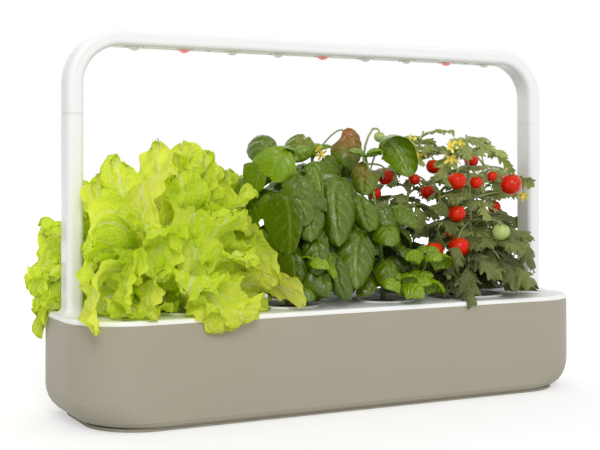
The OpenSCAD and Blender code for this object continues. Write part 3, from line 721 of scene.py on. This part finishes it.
LETTUCE = Blade(outline_lettuce, 44, 34, cup=-0.45, frill=0.30, waves=(4.0, 11.0), warp=0.12,
                puff=0.06, slant=1.9, blister=0.0014)
LETTUCE_PAINT = leaf_paint(
    "lettuce_leaf", LETTUCE, rgb(212, 242, 0), rgb(255, 255, 112), rgb(255, 255, 206), rough=0.34,
    vein_share=0.60, through=0.50, blotch=46.0, speckle=30.0, rib_width=0.14,
    crinkle=(230.0, 0.0015), gloss=0.30, mottle=0.6)
PALE_STEM = stem_paint("pale_stem", rgb(176, 190, 96), rgb(222, 228, 160))

# Leaves set one by one, in millimetres: plant, the point halfway along, tip, width, roll, tone
# The tone is partly the leaf's own and partly painted shade, set lower on leaves in shade
LETTUCE_LEAVES = [
    (1, (-210, -52, 220), (-210, -46, 279), 52, 0, 0.80),
    (1, (-186, -40, 225), (-178, -30, 277), 56, -8, 0.70),
    (1, (-241, -45, 216), (-248, -42, 262), 56, 8, 0.62),
    (1, (-257, -45, 199), (-270, -40, 240), 52, 14, 0.66),
    (1, (-162, -38, 219), (-147, -30, 266), 56, -10, 0.62),
    (1, (-146, -42, 204), (-128, -36, 246), 52, -14, 0.55),
    (1, (-223, -60, 232), (-232, -80, 183), 66, 4, 0.95),
    (1, (-180, -62, 205), (-187, -88, 136), 60, -4, 0.75),
    (1, (-208, -60, 189), (-222, -88, 143), 56, 6, 0.66),
    (1, (-252, -50, 197), (-281, -62, 162), 54, 10, 0.45),
    (1, (-264, -62, 152), (-290, -97, 98), 48, 6, 0.72),
    (1, (-240, -60, 155), (-253, -88, 116), 44, 0, 0.60),
    (1, (-215, -60, 148), (-230, -92, 108), 48, 4, 0.95),
    (1, (-170, -62, 142), (-160, -98, 92), 64, -4, 0.80),
    (1, (-134, -36, 190), (-108, -44, 182), 40, -20, 0.80),
    (1, (-124, -40, 173), (-88, -56, 159), 42, -14, 0.52),
    (1, (-128, -50, 156), (-96, -76, 132), 46, -8, 0.85),
    (1, (-104, -58, 134), (-60, -84, 112), 36, -6, 1.00),
    (1, (-233, -60, 172), (-243, -82, 140), 50, 0, 0.50),
    (1, (-259, -44, 172), (-283, -56, 140), 50, 12, 0.42),
    (2, (-109, 14, 229), (-100, 10, 206), 44, -10, 0.72),
    (0, (-268, 50, 172), (-306, 62, 120), 46, 10, 0.45),
    (0, (-272, 40, 155), (-301, 50, 78), 44, 4, 0.50),
    (0, (-272, 28, 148), (-300, 24, 92), 40, -6, 0.40),
]
# How large each head is, how far its upper leaves spread, and how much less they do so
# towards the basil
HEADS = [(0.84, 0.050, 0.0), (1.0, 0.080, 0.42), (0.88, 0.046, 0.0)]
BASIL_SIDE = -35
# Whorls of the head from the lowest up: leaves, length, rise, fall, width, tone
# The tone is partly painted shade: darkest on the middle whorls, under the upper leaves, and
# lightest on the top whorl
LETTUCE_WHORLS = [
    (6, 0.084, 24, -50, 0.058, 0.55), (7, 0.108, 46, -62, 0.062, 0.42),
    (7, 0.134, 66, -30, 0.064, 0.36), (6, 0.156, 80, 34, 0.062, 0.50),
    (4, 0.150, 86, 70, 0.052, 0.75),
]


def lettuce(i):
    """A loose head of frilly leaves, from wide low ones to short upright ones."""
    rng = np.random.default_rng(100 + i)
    leaves, core = Growth(), Growth()
    crown = POTS[i] + UP*0.002
    scale, spread, shy = HEADS[i]
    for whorl, (count, length, rise, fall, width, tone) in enumerate(LETTUCE_WHORLS):
        for k in range(count):
            az = 360*k/count + 47*whorl + 40*i + rng.uniform(-14, 14)
            reach = scale*length*rng.uniform(0.92, 1.06)
            room = space(i, az) - 0.004
            if whorl:
                facing = max(0.0, math.cos(math.radians(az - BASIL_SIDE)))
                room = min(room, spread*(1 - shy*facing))
            # A leaf with little room stands up instead
            crowd = min(1.0, room/(0.72*reach))
            up = 90 - (90 - rise + rng.uniform(-6, 6))*crowd
            base = crown + heading(az)*0.011*(1 - whorl/4) + UP*0.002*whorl
            path = arc_path(base, az, reach, up, up - (rise - fall)*crowd, LETTUCE.rows, 1.3)
            LETTUCE.grow(leaves, path, az, width*rng.uniform(0.9, 1.12), rng,
                         roll=rng.uniform(-12, 12), twist=rng.uniform(-20, 20),
                         tone=tone + rng.uniform(-0.2, 0.2))
    for knee, tip, width, roll, tone in of_plant(i, LETTUCE_LEAVES):
        az = azimuth(crown, mm(*tip))
        path = path_through(crown + heading(az)*0.008, mm(*knee), mm(*tip), LETTUCE.rows)
        LETTUCE.grow(leaves, path, az, width*MM, rng, roll=roll, tone=tone, turned=0.5)
    tube(core, np.array([crown - UP*0.0018, crown + UP*0.012]), (0.014, 0.011), 14)
    body = f"pod_{i + 1}"
    core.build(f"lettuce_crown_{i + 1}", PALE_STEM, body, "lettuce_green")
    piece = leaves.build(f"lettuce_leaves_{i + 1}", LETTUCE_PAINT, body, "lettuce_green",
                         room_of(i))
    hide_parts(f"lettuce_{i + 1}")


# ---- Basil ----

BASIL = Blade(outline_ovate, 30, 22, cup=1.1, frill=0.05, waves=(2.0, 5.0), warp=0.06, puff=0.17)
BASIL_PAINT = leaf_paint(
    "basil_leaf", BASIL, rgb(10, 32, 0), rgb(146, 182, 8), rgb(166, 190, 78), rough=0.25,
    vein_share=0.22, through=0.08, blotch=14.0, crinkle=(120.0, 0.0006), gloss=0.45)
GREEN_STEM = stem_paint("green_stem", rgb(74, 108, 42), rgb(142, 166, 88))


def basil_blade(leaves, stems, path, az, share, width, rng, tone, flush=0.0, roll=0.0,
                turned=0.0):
    """One domed leaf along path, whose first share is its stalk."""
    cut = max(2, int(share*(len(path) - 1)))
    tube(stems, path[:cut + 1], (0.0011, 0.0009), 6)
    BASIL.grow(leaves, path[cut:], az, width, rng, roll=roll, twist=rng.uniform(-15, 15),
               tone=tone, flush=flush, turned=turned)


def basil_leaf(leaves, stems, foot, az, stalk, length, width, rise, fall, rng, tone, roll=0.0,
               turned=0.0):
    """A leaf that leaves the stem at foot in direction az and arches down."""
    path = arc_path(foot, az, stalk + length, rise, fall, 30, 1.1)
    basil_blade(leaves, stems, path, az, stalk/(stalk + length), width, rng, tone, roll=roll,
                turned=turned)


# Leaves set one by one, in millimetres: plant, height of the foot on the stem, the point halfway
# along, tip, width, tone and, on brownish leaves, how brown and which share of the path is stalk
# The tone is partly painted shade, set low on the lowest leaves
BASIL_LEAVES = [
    (3, 250, (-77, -30, 280), (-93, -40, 254), 54, 0.22),
    (3, 245, (-66, -48, 270), (-107, -60, 242), 60, 0.85),
    (3, 228, (-102, -45, 250), (-132, -52, 228), 44, 0.45),
    (3, 190, (-84, -68, 224), (-101, -84, 163), 64, 0.16),
    (3, 205, (-57, -60, 232), (-56, -78, 176), 52, 0.26),
    (3, 225, (-42, -52, 254), (-38, -66, 216), 46, 0.45),
    (3, 140, (-76, -70, 163), (-88, -84, 124), 48, 0.05),
    (3, 150, (-50, -68, 178), (-52, -84, 142), 42, 0.15),
    (5, 190, (-12, -56, 238), (-22, -76, 170), 64, 0.24),
    (3, 208, (-66, -62, 240), (-68, -82, 192), 50, 0.30),
    (5, 150, (9, -66, 180), (-6, -84, 126), 58, 0.20),
    (5, 132, (-18, -66, 161), (-18, -84, 114), 48, 0.05),
    (5, 205, (20, -45, 222), (24, -62, 184), 42, 0.30),
    (5, 175, (44, -48, 208), (54, -60, 172), 42, 0.18),
    (5, 245, (72, -18, 281), (97, -26, 242), 46, 0.50),
    (5, 225, (38, -26, 254), (32, -34, 222), 36, 0.40, 0.5, 0.36),
    (4, 262, (34, 14, 295), (39, 2, 250), 50, 0.30, 0.85, 0.50),
    (4, 255, (-14, 14, 286), (-30, 8, 258), 46, 0.55, 0.3, 0.36),
    (4, 240, (10, 12, 262), (14, 6, 226), 48, 0.20),
]
# How many levels of leaves each plant has, how high they go and how large their leaves are
BASIL_HABIT = {3: (7, 0.110, 0.056), 4: (7, 0.120, 0.056), 5: (5, 0.070, 0.044)}
# Young shoots low on the plants: plant, direction, distance and height of each shoot's tip
BASIL_SHOOTS = [(3, 288, 0.050, 0.150), (5, 262, 0.044, 0.124), (5, 300, 0.044, 0.126),
                (5, 312, 0.050, 0.152), (3, 318, 0.030, 0.122)]


def basil(i):
    """A bushy plant: rings of domed glossy leaves up the stem, with young shoots."""
    rng = np.random.default_rng(200 + i)
    leaves, stems = Growth(), Growth()
    levels, high, size = BASIL_HABIT[i]
    foot = POTS[i]
    main_stems(stems, i, (0.0028, 0.0014))
    for level in range(levels):
        start = stem_point(i, foot[2] + (0.026 + high*level/(levels - 1)))
        for k in range(4):
            az = 90*k + 45*level + 25*i + rng.uniform(-14, 14)
            big = size*rng.uniform(0.85, 1.15)
            crowd = min(1.0, space(i, az)/(0.85*big))
            stalk = 0.013*rng.uniform(0.8, 1.4)*crowd
            # painted shade: the tone grows with the level, so the low leaves are darker
            basil_leaf(leaves, stems, start, az, stalk, big*(0.6 + 0.4*crowd), 0.82*big,
                       30 + rng.uniform(-10, 14), -84 + rng.uniform(-12, 16), rng,
                       0.08 + 0.3*level/levels + rng.uniform(-0.1, 0.25),
                       roll=rng.uniform(-18, 18))
    for k in range(4):
        basil_leaf(leaves, stems, stem_point(i, STEMS[i][0]), 90*k + 20*i, 0.003, 0.026, 0.020,
                   62, -30, rng, 0.65)
    for height, knee, tip, width, tone, *brown_leaf in of_plant(i, BASIL_LEAVES):
        brown, stalk = brown_leaf or (0.0, 0.36)
        start = stem_point(i, height*MM)
        az = azimuth(start, mm(*tip))
        path = path_through(start, mm(*knee), mm(*tip), 40)
        basil_blade(leaves, stems, path, az, stalk, width*MM, rng, tone, brown_flush(brown),
                    turned=0.75)
    for az, out, height in of_plant(i, BASIL_SHOOTS):
        shoot(leaves, stems, foot, az, out, height, rng)
    petals = Growth()
    for spot in of_plant(i, FLOWERS):
        flower(petals, stems, leaves, i, mm(*spot), rng)
    body, tag = f"pod_{i + 1}", i - 2
    if petals.count:
        petals.build(f"basil_flowers_{tag}", PETAL_PAINT, body, "basil_green")
    stems.build(f"basil_stems_{tag}", GREEN_STEM, body, "basil_green", room_of(i))
    piece = leaves.build(f"basil_leaves_{tag}", BASIL_PAINT, body, "basil_green",
                         room_of(i, 0.006))
    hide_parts(f"basil_{tag}")


def brown_flush(share):
    """A flush that is strongest at a leaf's foot and along its middle."""
    return lambda t, u: share*np.clip(1.1 - 1.2*t - 0.35*np.abs(u), 0, 1)


def shoot(leaves, stems, foot, az, out, height, rng):
    """A side shoot that ends in six round young leaves, each pair smaller than the last."""
    tip = np.array((foot[0], foot[1], height)) + heading(az)*out
    tube(stems, curve_path(foot + UP*0.012, foot + heading(az)*out*0.8 + UP*0.012, tip, 8),
         (0.0012, 0.001), 6)
    for k in range(6):
        pair = k//2
        size = (0.031, 0.026, 0.020)[pair]
        basil_leaf(leaves, stems, tip + UP*0.003*pair, az + 90*k + 40 + 20*(k//4), 0.003, size,
                   1.05*size, 30 + 12*pair, -74 + 14*pair, rng, rng.uniform(0.8, 1.0),
                   turned=0.4)


# ---- Tomato ----

LEAFLET = Blade(outline_lobed, 24, 10, cup=0.6, frill=0.14, waves=(2.0, 6.0), warp=0.16,
                puff=0.10, pairs=7, slant=1.4, sweep=0.5)
SEPAL = Blade(outline_sepal, 8, 4, cup=0.3, warp=0.1)
TOMATO_PAINT = leaf_paint(
    "tomato_leaf", LEAFLET, rgb(16, 34, 8), rgb(190, 202, 112), rgb(150, 164, 104), rough=0.42,
    vein_share=0.35, through=0.20, blotch=20.0)
RIPE_PAINT = fruit_paint("ripe_fruit", rgb(216, 34, 0), rgb(234, 72, 4))
GREEN_FRUIT_PAINT = fruit_paint("green_fruit", rgb(182, 200, 118), rgb(140, 168, 76))
PETAL_PAINT = petal_paint("flower_petal", rgb(250, 204, 40), rgb(252, 240, 118))
TOMATO_STEM = stem_paint("tomato_stem", rgb(122, 138, 78), rgb(188, 194, 134))

# Fruit, in millimetres: plant, middle x, y, z, radius, ripe or green
FRUITS = [
    (6, 90, 15, 242, 9.5, True), (6, 128, 13, 239, 7.0, True), (6, 76, 15, 223, 7.5, True),
    (6, 155, 13, 254, 9.0, True), (6, 147, 13, 224, 9.0, True), (6, 85, 20, 288, 6.5, False),
    (7, 140, -56, 238, 10.5, True), (7, 137, -60, 202, 10.0, True),
    (7, 137, -64, 165, 12.0, True), (7, 112, -52, 160, 11.0, True),
    (7, 132, -54, 181, 6.0, True), (7, 188, -56, 243, 6.0, True),
    (7, 214, -56, 234, 13.0, True), (7, 183, -79, 181, 10.0, False),
    (7, 166, -56, 236, 7.5, True), (8, 210, 15, 261, 8.5, True),
    (8, 242, 15, 243, 6.5, True), (8, 252, 26, 205, 8.0, True),
]
# Flowers, in millimetres: plant, x, y, z
FLOWERS = [
    (6, 130, 10, 266), (6, 139, 8, 271), (6, 122, 12, 284), (6, 118, 20, 250),
    (7, 135, -52, 276), (7, 146, -54, 279), (7, 236, -50, 220), (7, 131, -58, 262),
    (8, 188, 20, 282), (8, 222, 20, 270), (4, -3, 9, 273), (4, 3, 9, 267),
]


# Large leaves set one by one: plant, height of the foot, direction, length, leaflet size, rise,
# fall, tone
# The tone is partly painted shade, set low on the lowest leaves
TOMATO_LEAVES = [
    (7, 0.192, 318, 0.056, 0.048, 18, -56, 0.20), (7, 0.150, 345, 0.056, 0.050, 20, -50, 0.12),
    (7, 0.165, 232, 0.060, 0.050, 14, -60, 0.15), (7, 0.140, 205, 0.060, 0.048, 18, -48, 0.05),
    (7, 0.165, 285, 0.046, 0.046, 14, -52, 0.10), (7, 0.215, 200, 0.056, 0.044, 30, -20, 0.45),
    (7, 0.232, 352, 0.052, 0.036, 26, -8, 0.70), (7, 0.262, 250, 0.034, 0.028, 44, -10, 0.80),
    (7, 0.232, 188, 0.060, 0.040, 24, -14, 0.55), (7, 0.190, 196, 0.062, 0.044, 22, -30, 0.30),
    (7, 0.170, 220, 0.056, 0.042, 20, -30, 0.20), (7, 0.130, 190, 0.058, 0.046, 26, -40, 0.10),
    (6, 0.240, 200, 0.050, 0.036, 30, -12, 0.50), (6, 0.205, 215, 0.048, 0.040, 26, -30, 0.35),
    (6, 0.180, 330, 0.050, 0.042, 24, -30, 0.25), (6, 0.150, 190, 0.052, 0.042, 24, -40, 0.15),
    (6, 0.255, 12, 0.044, 0.032, 52, 6, 0.60), (6, 0.200, 140, 0.050, 0.040, 30, -20, 0.30),
    (8, 0.235, 30, 0.050, 0.034, 26, -6, 0.75), (8, 0.190, 340, 0.052, 0.044, 20, -30, 0.30),
]


def compound_leaf(leaves, stems, foot, az, length, size, rise, fall, rng, tone):
    """A pinnate leaf: a bent midrib with a large end leaflet and three pairs."""
    path = arc_path(foot, az, length, rise, fall, 12)
    tube(stems, path, (0.0017, 0.0010), 6)
    slope = np.degrees(np.arcsin(np.clip(directions(path)[:, 2], -1.0, 1.0)))
    tip = arc_path(path[-1], az, size, slope[-1] + 10, slope[-1] - 24, LEAFLET.rows)
    LEAFLET.grow(leaves, tip, az, 0.66*size, rng, roll=rng.uniform(-15, 15), tone=tone,
                 turned=0.4)
    for step, share in ((9, 0.86), (6, 0.70), (3, 0.50)):
        for side in (-1, 1):
            turn = az + side*(62 + rng.uniform(-10, 10))
            span = share*size*rng.uniform(0.85, 1.1)
            lift = slope[step]*0.5
            blade = arc_path(path[step], turn, span, lift + 14, lift - 40, LEAFLET.rows)
            LEAFLET.grow(leaves, blade, turn, 0.62*span, rng, roll=side*rng.uniform(-6, 26),
                         tone=tone + rng.uniform(-0.12, 0.12), turned=0.3)


def hides_fruit(tip, reach):
    """Whether a leaf that ends at tip would hang between a fruit and the photographer."""
    for _, x, y, z, radius, _ in FRUITS:
        away = tip - mm(x, y, z)
        ahead = away @ TO_VIEWER
        if ahead > 0 and np.linalg.norm(away - ahead*TO_VIEWER) < radius*MM + reach:
            return True
    return False


def fruit(skins, stems, leaves, i, middle, radius, rng):
    """A fruit with its ribs, its star of sepals and the stalk it hangs by."""
    rows, cols = 18, 24
    v = np.linspace(-math.pi/2, math.pi/2, rows + 1)[:, None]
    h = (np.arange(cols)*2*math.pi/cols)[None]
    ribs = 1 + 0.018*np.cos(5*h + rng.uniform(0, 6))*np.cos(v)
    dimple = 1 - 0.16*np.exp(-((math.pi/2 - v)/0.32)**2)
    r = radius*ribs*dimple
    squash = 0.94
    grid = merged(r*np.cos(v)*np.cos(h), r*np.cos(v)*np.sin(h), squash*r*np.sin(v)) + middle
    skins.add(grid, merged(h/(2*math.pi), (v + math.pi/2)/math.pi), closed=True)
    crown = middle + UP*radius*0.80
    for k in range(5):
        az = 72*k + rng.uniform(-10, 10)
        path = arc_path(crown, az, radius*0.95, 22, -46, SEPAL.rows)
        SEPAL.grow(leaves, path, az, radius*0.26, rng, tone=0.6)
    reach = nearest_stem(i, crown + UP*radius*0.6)
    knee = crown + UP*radius*0.9 + (reach - crown)*0.12
    tube(stems, curve_path(crown, knee, reach, 14), (0.0010, 0.0014), 6)


def star(growth, middle, axis, size, bend, spin, sharp, behind):
    """Five pointed lobes round axis, whose tips bend forward, set a little behind middle."""
    across = np.cross(axis, UP)
    across /= np.linalg.norm(across)
    rise = np.cross(across, axis)
    t = np.linspace(0.02, 1, 7)[:, None]
    turn = (np.arange(60)*math.pi/30)[None]
    lobe = 0.24 + 0.76*np.abs(np.cos(5/2*(turn + spin)))**sharp
    r = size*t*lobe
    grid = (middle + (r*np.cos(turn))[..., None]*across + (r*np.sin(turn))[..., None]*rise
            + (bend*size*(t*lobe)**2 - behind)[..., None]*axis)
    growth.add(grid, merged(turn/6.3, t), closed=True, tone=0.9)


def flower(petals, stems, leaves, i, middle, rng):
    """A nodding star of five petals over five sepals, round a yellow cone, facing outwards."""
    az = rng.uniform(200, 290)
    axis = heading(az) + UP*rng.uniform(-0.8, 0.2)
    axis /= np.linalg.norm(axis)
    size = rng.uniform(0.0070, 0.0088)
    star(petals, middle, axis, size, rng.uniform(-0.3, 0.6), rng.uniform(0, 6), 1.1, 0.0)
    star(leaves, middle, axis, 0.8*size, -0.40, 0.6, 5, 0.0006)
    tube(petals, np.array([middle - axis*0.0004, middle + axis*0.0055]), (0.0018, 0.0007), 8)
    reach = nearest_stem(i, middle)
    knee = (middle + reach)/2 + UP*0.012
    tube(stems, curve_path(middle - axis*0.001, knee, reach, 10), (0.0005, 0.0009), 6)


# Leaves on each tomato plant besides those set one by one, with those that are left out again
RANDOM_LEAVES = 40


def tomato(i):
    """A dwarf tomato: lobed compound leaves up the stem, with trusses of fruit."""
    rng = np.random.default_rng(300 + i)
    leaves, stems, ripe, green, petals = (Growth() for _ in range(5))
    foot = POTS[i]
    top = STEMS[i][0] - foot[2]
    main_stems(stems, i, (0.0030, 0.0012))
    for k in range(RANDOM_LEAVES):
        s = k/(RANDOM_LEAVES - 1)  # from the lowest leaf to the highest
        az = GOLDEN*k + 60*i + rng.uniform(-14, 14)
        start = stem_point(i, foot[2] + 0.016 + (top - 0.022)*s**1.3)
        length = (0.052 - 0.022*s)*rng.uniform(0.7, 1.25)
        length = length*min(1.0, space(i, az)/(1.6*length))
        size = (0.044 - 0.018*s)*rng.uniform(0.75, 1.2)
        rise, fall = 40 + rng.uniform(-26, 20), -34 + rng.uniform(-26, 40)
        tip = arc_path(start, az, length, rise, fall, 12)[-1]
        if not hides_fruit(tip, 0.3*size):
            # painted shade: the tone grows with height, so the low leaves are darker
            compound_leaf(leaves, stems, start, az, length, size, rise, fall, rng,
                          0.05 + 0.9*s**1.2 + rng.uniform(-0.15, 0.3))
    for height, az, length, size, rise, fall, tone in of_plant(i, TOMATO_LEAVES):
        compound_leaf(leaves, stems, stem_point(i, height), az, length, size, rise, fall, rng,
                      tone)
    for x, y, z, radius, is_ripe in of_plant(i, FRUITS):
        fruit(ripe if is_ripe else green, stems, leaves, i, mm(x, y, z), radius*MM, rng)
    for spot in of_plant(i, FLOWERS):
        flower(petals, stems, leaves, i, mm(*spot), rng)
    body, tag, room = f"pod_{i + 1}", i - 5, room_of(i, 0.004)
    stems.build(f"tomato_stems_{tag}", TOMATO_STEM, body, "tomato_green", room)
    for name, growth, paint in (("ripe", ripe, RIPE_PAINT), ("green", green, GREEN_FRUIT_PAINT),
                                ("flowers", petals, PETAL_PAINT)):
        if growth.count:
            growth.build(f"tomato_{name}_{tag}", paint, body, "tomato_green")
    piece = leaves.build(f"tomato_leaves_{tag}", TOMATO_PAINT, body, "tomato_green", room)
    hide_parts(f"tomato_{tag}")


for pot in range(CUPS):
    (lettuce, basil, tomato)[pot//3](pot)


# ---- Floor, light and camera ----

def shows_background(tree):
    """1 where the camera sees this material straight, in a reflection or through glass."""
    seen = tree.nodes.new("ShaderNodeLightPath")
    shown = seen.outputs["Is Camera Ray"]
    for key in ("Is Glossy Ray", "Is Transmission Ray"):
        either = tree.nodes.new("ShaderNodeMath")
        either.operation = "MAXIMUM"
        tree.links.new(shown, either.inputs[0])
        tree.links.new(seen.outputs[key], either.inputs[1])
        shown = either.outputs[0]
    return shown


def floor():
    """A pale floor that fades into the white background and keeps the object's shadow."""
    p = Paint("floor_paper")
    p.set(Base_Color=p.mix(p.noise(3.0), rgb(206, 206, 206), rgb(208, 208, 208)), Roughness=0.9,
          Specular_IOR_Level=0.1)
    away = p.node("VectorMath", operation="LENGTH")
    p.feed(away.inputs[0], p.node("TexCoord").outputs["Object"])
    # Less of its own white within half a metre of the object, so that the shadow shows
    fade = p.spread(away.outputs["Value"], 0.44, 1.0, 0.5, 1.5)
    glow = p.node("Emission")
    p.feed(glow.inputs["Strength"], p.times(shows_background(p.tree), fade))
    p.surface("AddShader", glow.outputs[0])
    half = 30.0
    mesh = bpy.data.meshes.new("floor")
    mesh.from_pydata([(-half, -half, 0), (half, -half, 0), (half, half, 0), (-half, half, 0)],
                     [], [(0, 1, 2, 3)])
    mesh.materials.append(p.material)
    piece = placed("floor", mesh)


def world_light(strength):
    """Even studio light that reads as plain white where the camera sees past the object."""
    world = bpy.data.worlds.new("studio")
    bpy.context.scene.world = world
    world.use_nodes = True
    nodes, links = world.node_tree.nodes, world.node_tree.links
    light, white = nodes["Background"], nodes.new("ShaderNodeBackground")
    for background, power in ((light, strength), (white, 1.0)):
        background.inputs["Color"].default_value = (1.0, 1.0, 1.0, 1.0)
        background.inputs["Strength"].default_value = power
    both = nodes.new("ShaderNodeMixShader")
    links.new(shows_background(world.node_tree), both.inputs[0])
    links.new(light.outputs[0], both.inputs[1])
    links.new(white.outputs[0], both.inputs[2])
    links.new(both.outputs[0], nodes["World Output"].inputs["Surface"])


def softbox(name, place, target, width, height, power):
    """A soft rectangular lamp at place that looks at target."""
    data = bpy.data.lights.new(name, "AREA")
    data.shape = "RECTANGLE"
    data.size, data.size_y, data.energy = width, height, power
    lamp = placed(name, data)
    lamp.location = place
    aim = np.array(target) - np.array(place)
    flat = math.hypot(aim[0], aim[1])
    lamp.rotation_euler = (math.atan2(flat, -aim[2]), 0.0, math.atan2(-aim[0], aim[1]))


def camera():
    """The photograph's camera: level, with its frame shifted down from the horizon."""
    image_w, image_h = 600, 450
    focal_px, horizon_row = 1193.5, 171.3
    heading_right = 27.31
    data = bpy.data.cameras.new("camera")
    data.sensor_width = 36.0
    data.lens = focal_px*data.sensor_width/image_w
    data.shift_y = -(image_h/2 - horizon_row)/image_w
    eye = placed("camera", data)
    eye.location = (-0.6260, -1.1579, 0.2485)
    eye.rotation_euler = (math.radians(90), 0.0, math.radians(-heading_right))
    bpy.context.scene.camera = eye


floor()
world_light(0.70)
softbox("key", (-1.1, -3.3, 2.1), (0.0, 0.0, 0.15), 1.4, 1.4, 58.0)
softbox("fill", (1.8, -1.6, 1.5), (0.0, 0.0, 0.15), 1.4, 1.4, 4.0)
softbox("back", (0.3, 1.9, 2.0), (0.0, 0.0, 0.2), 2.0, 1.2, 14.0)
camera()
bpy.context.scene.view_settings.view_transform = "Standard"
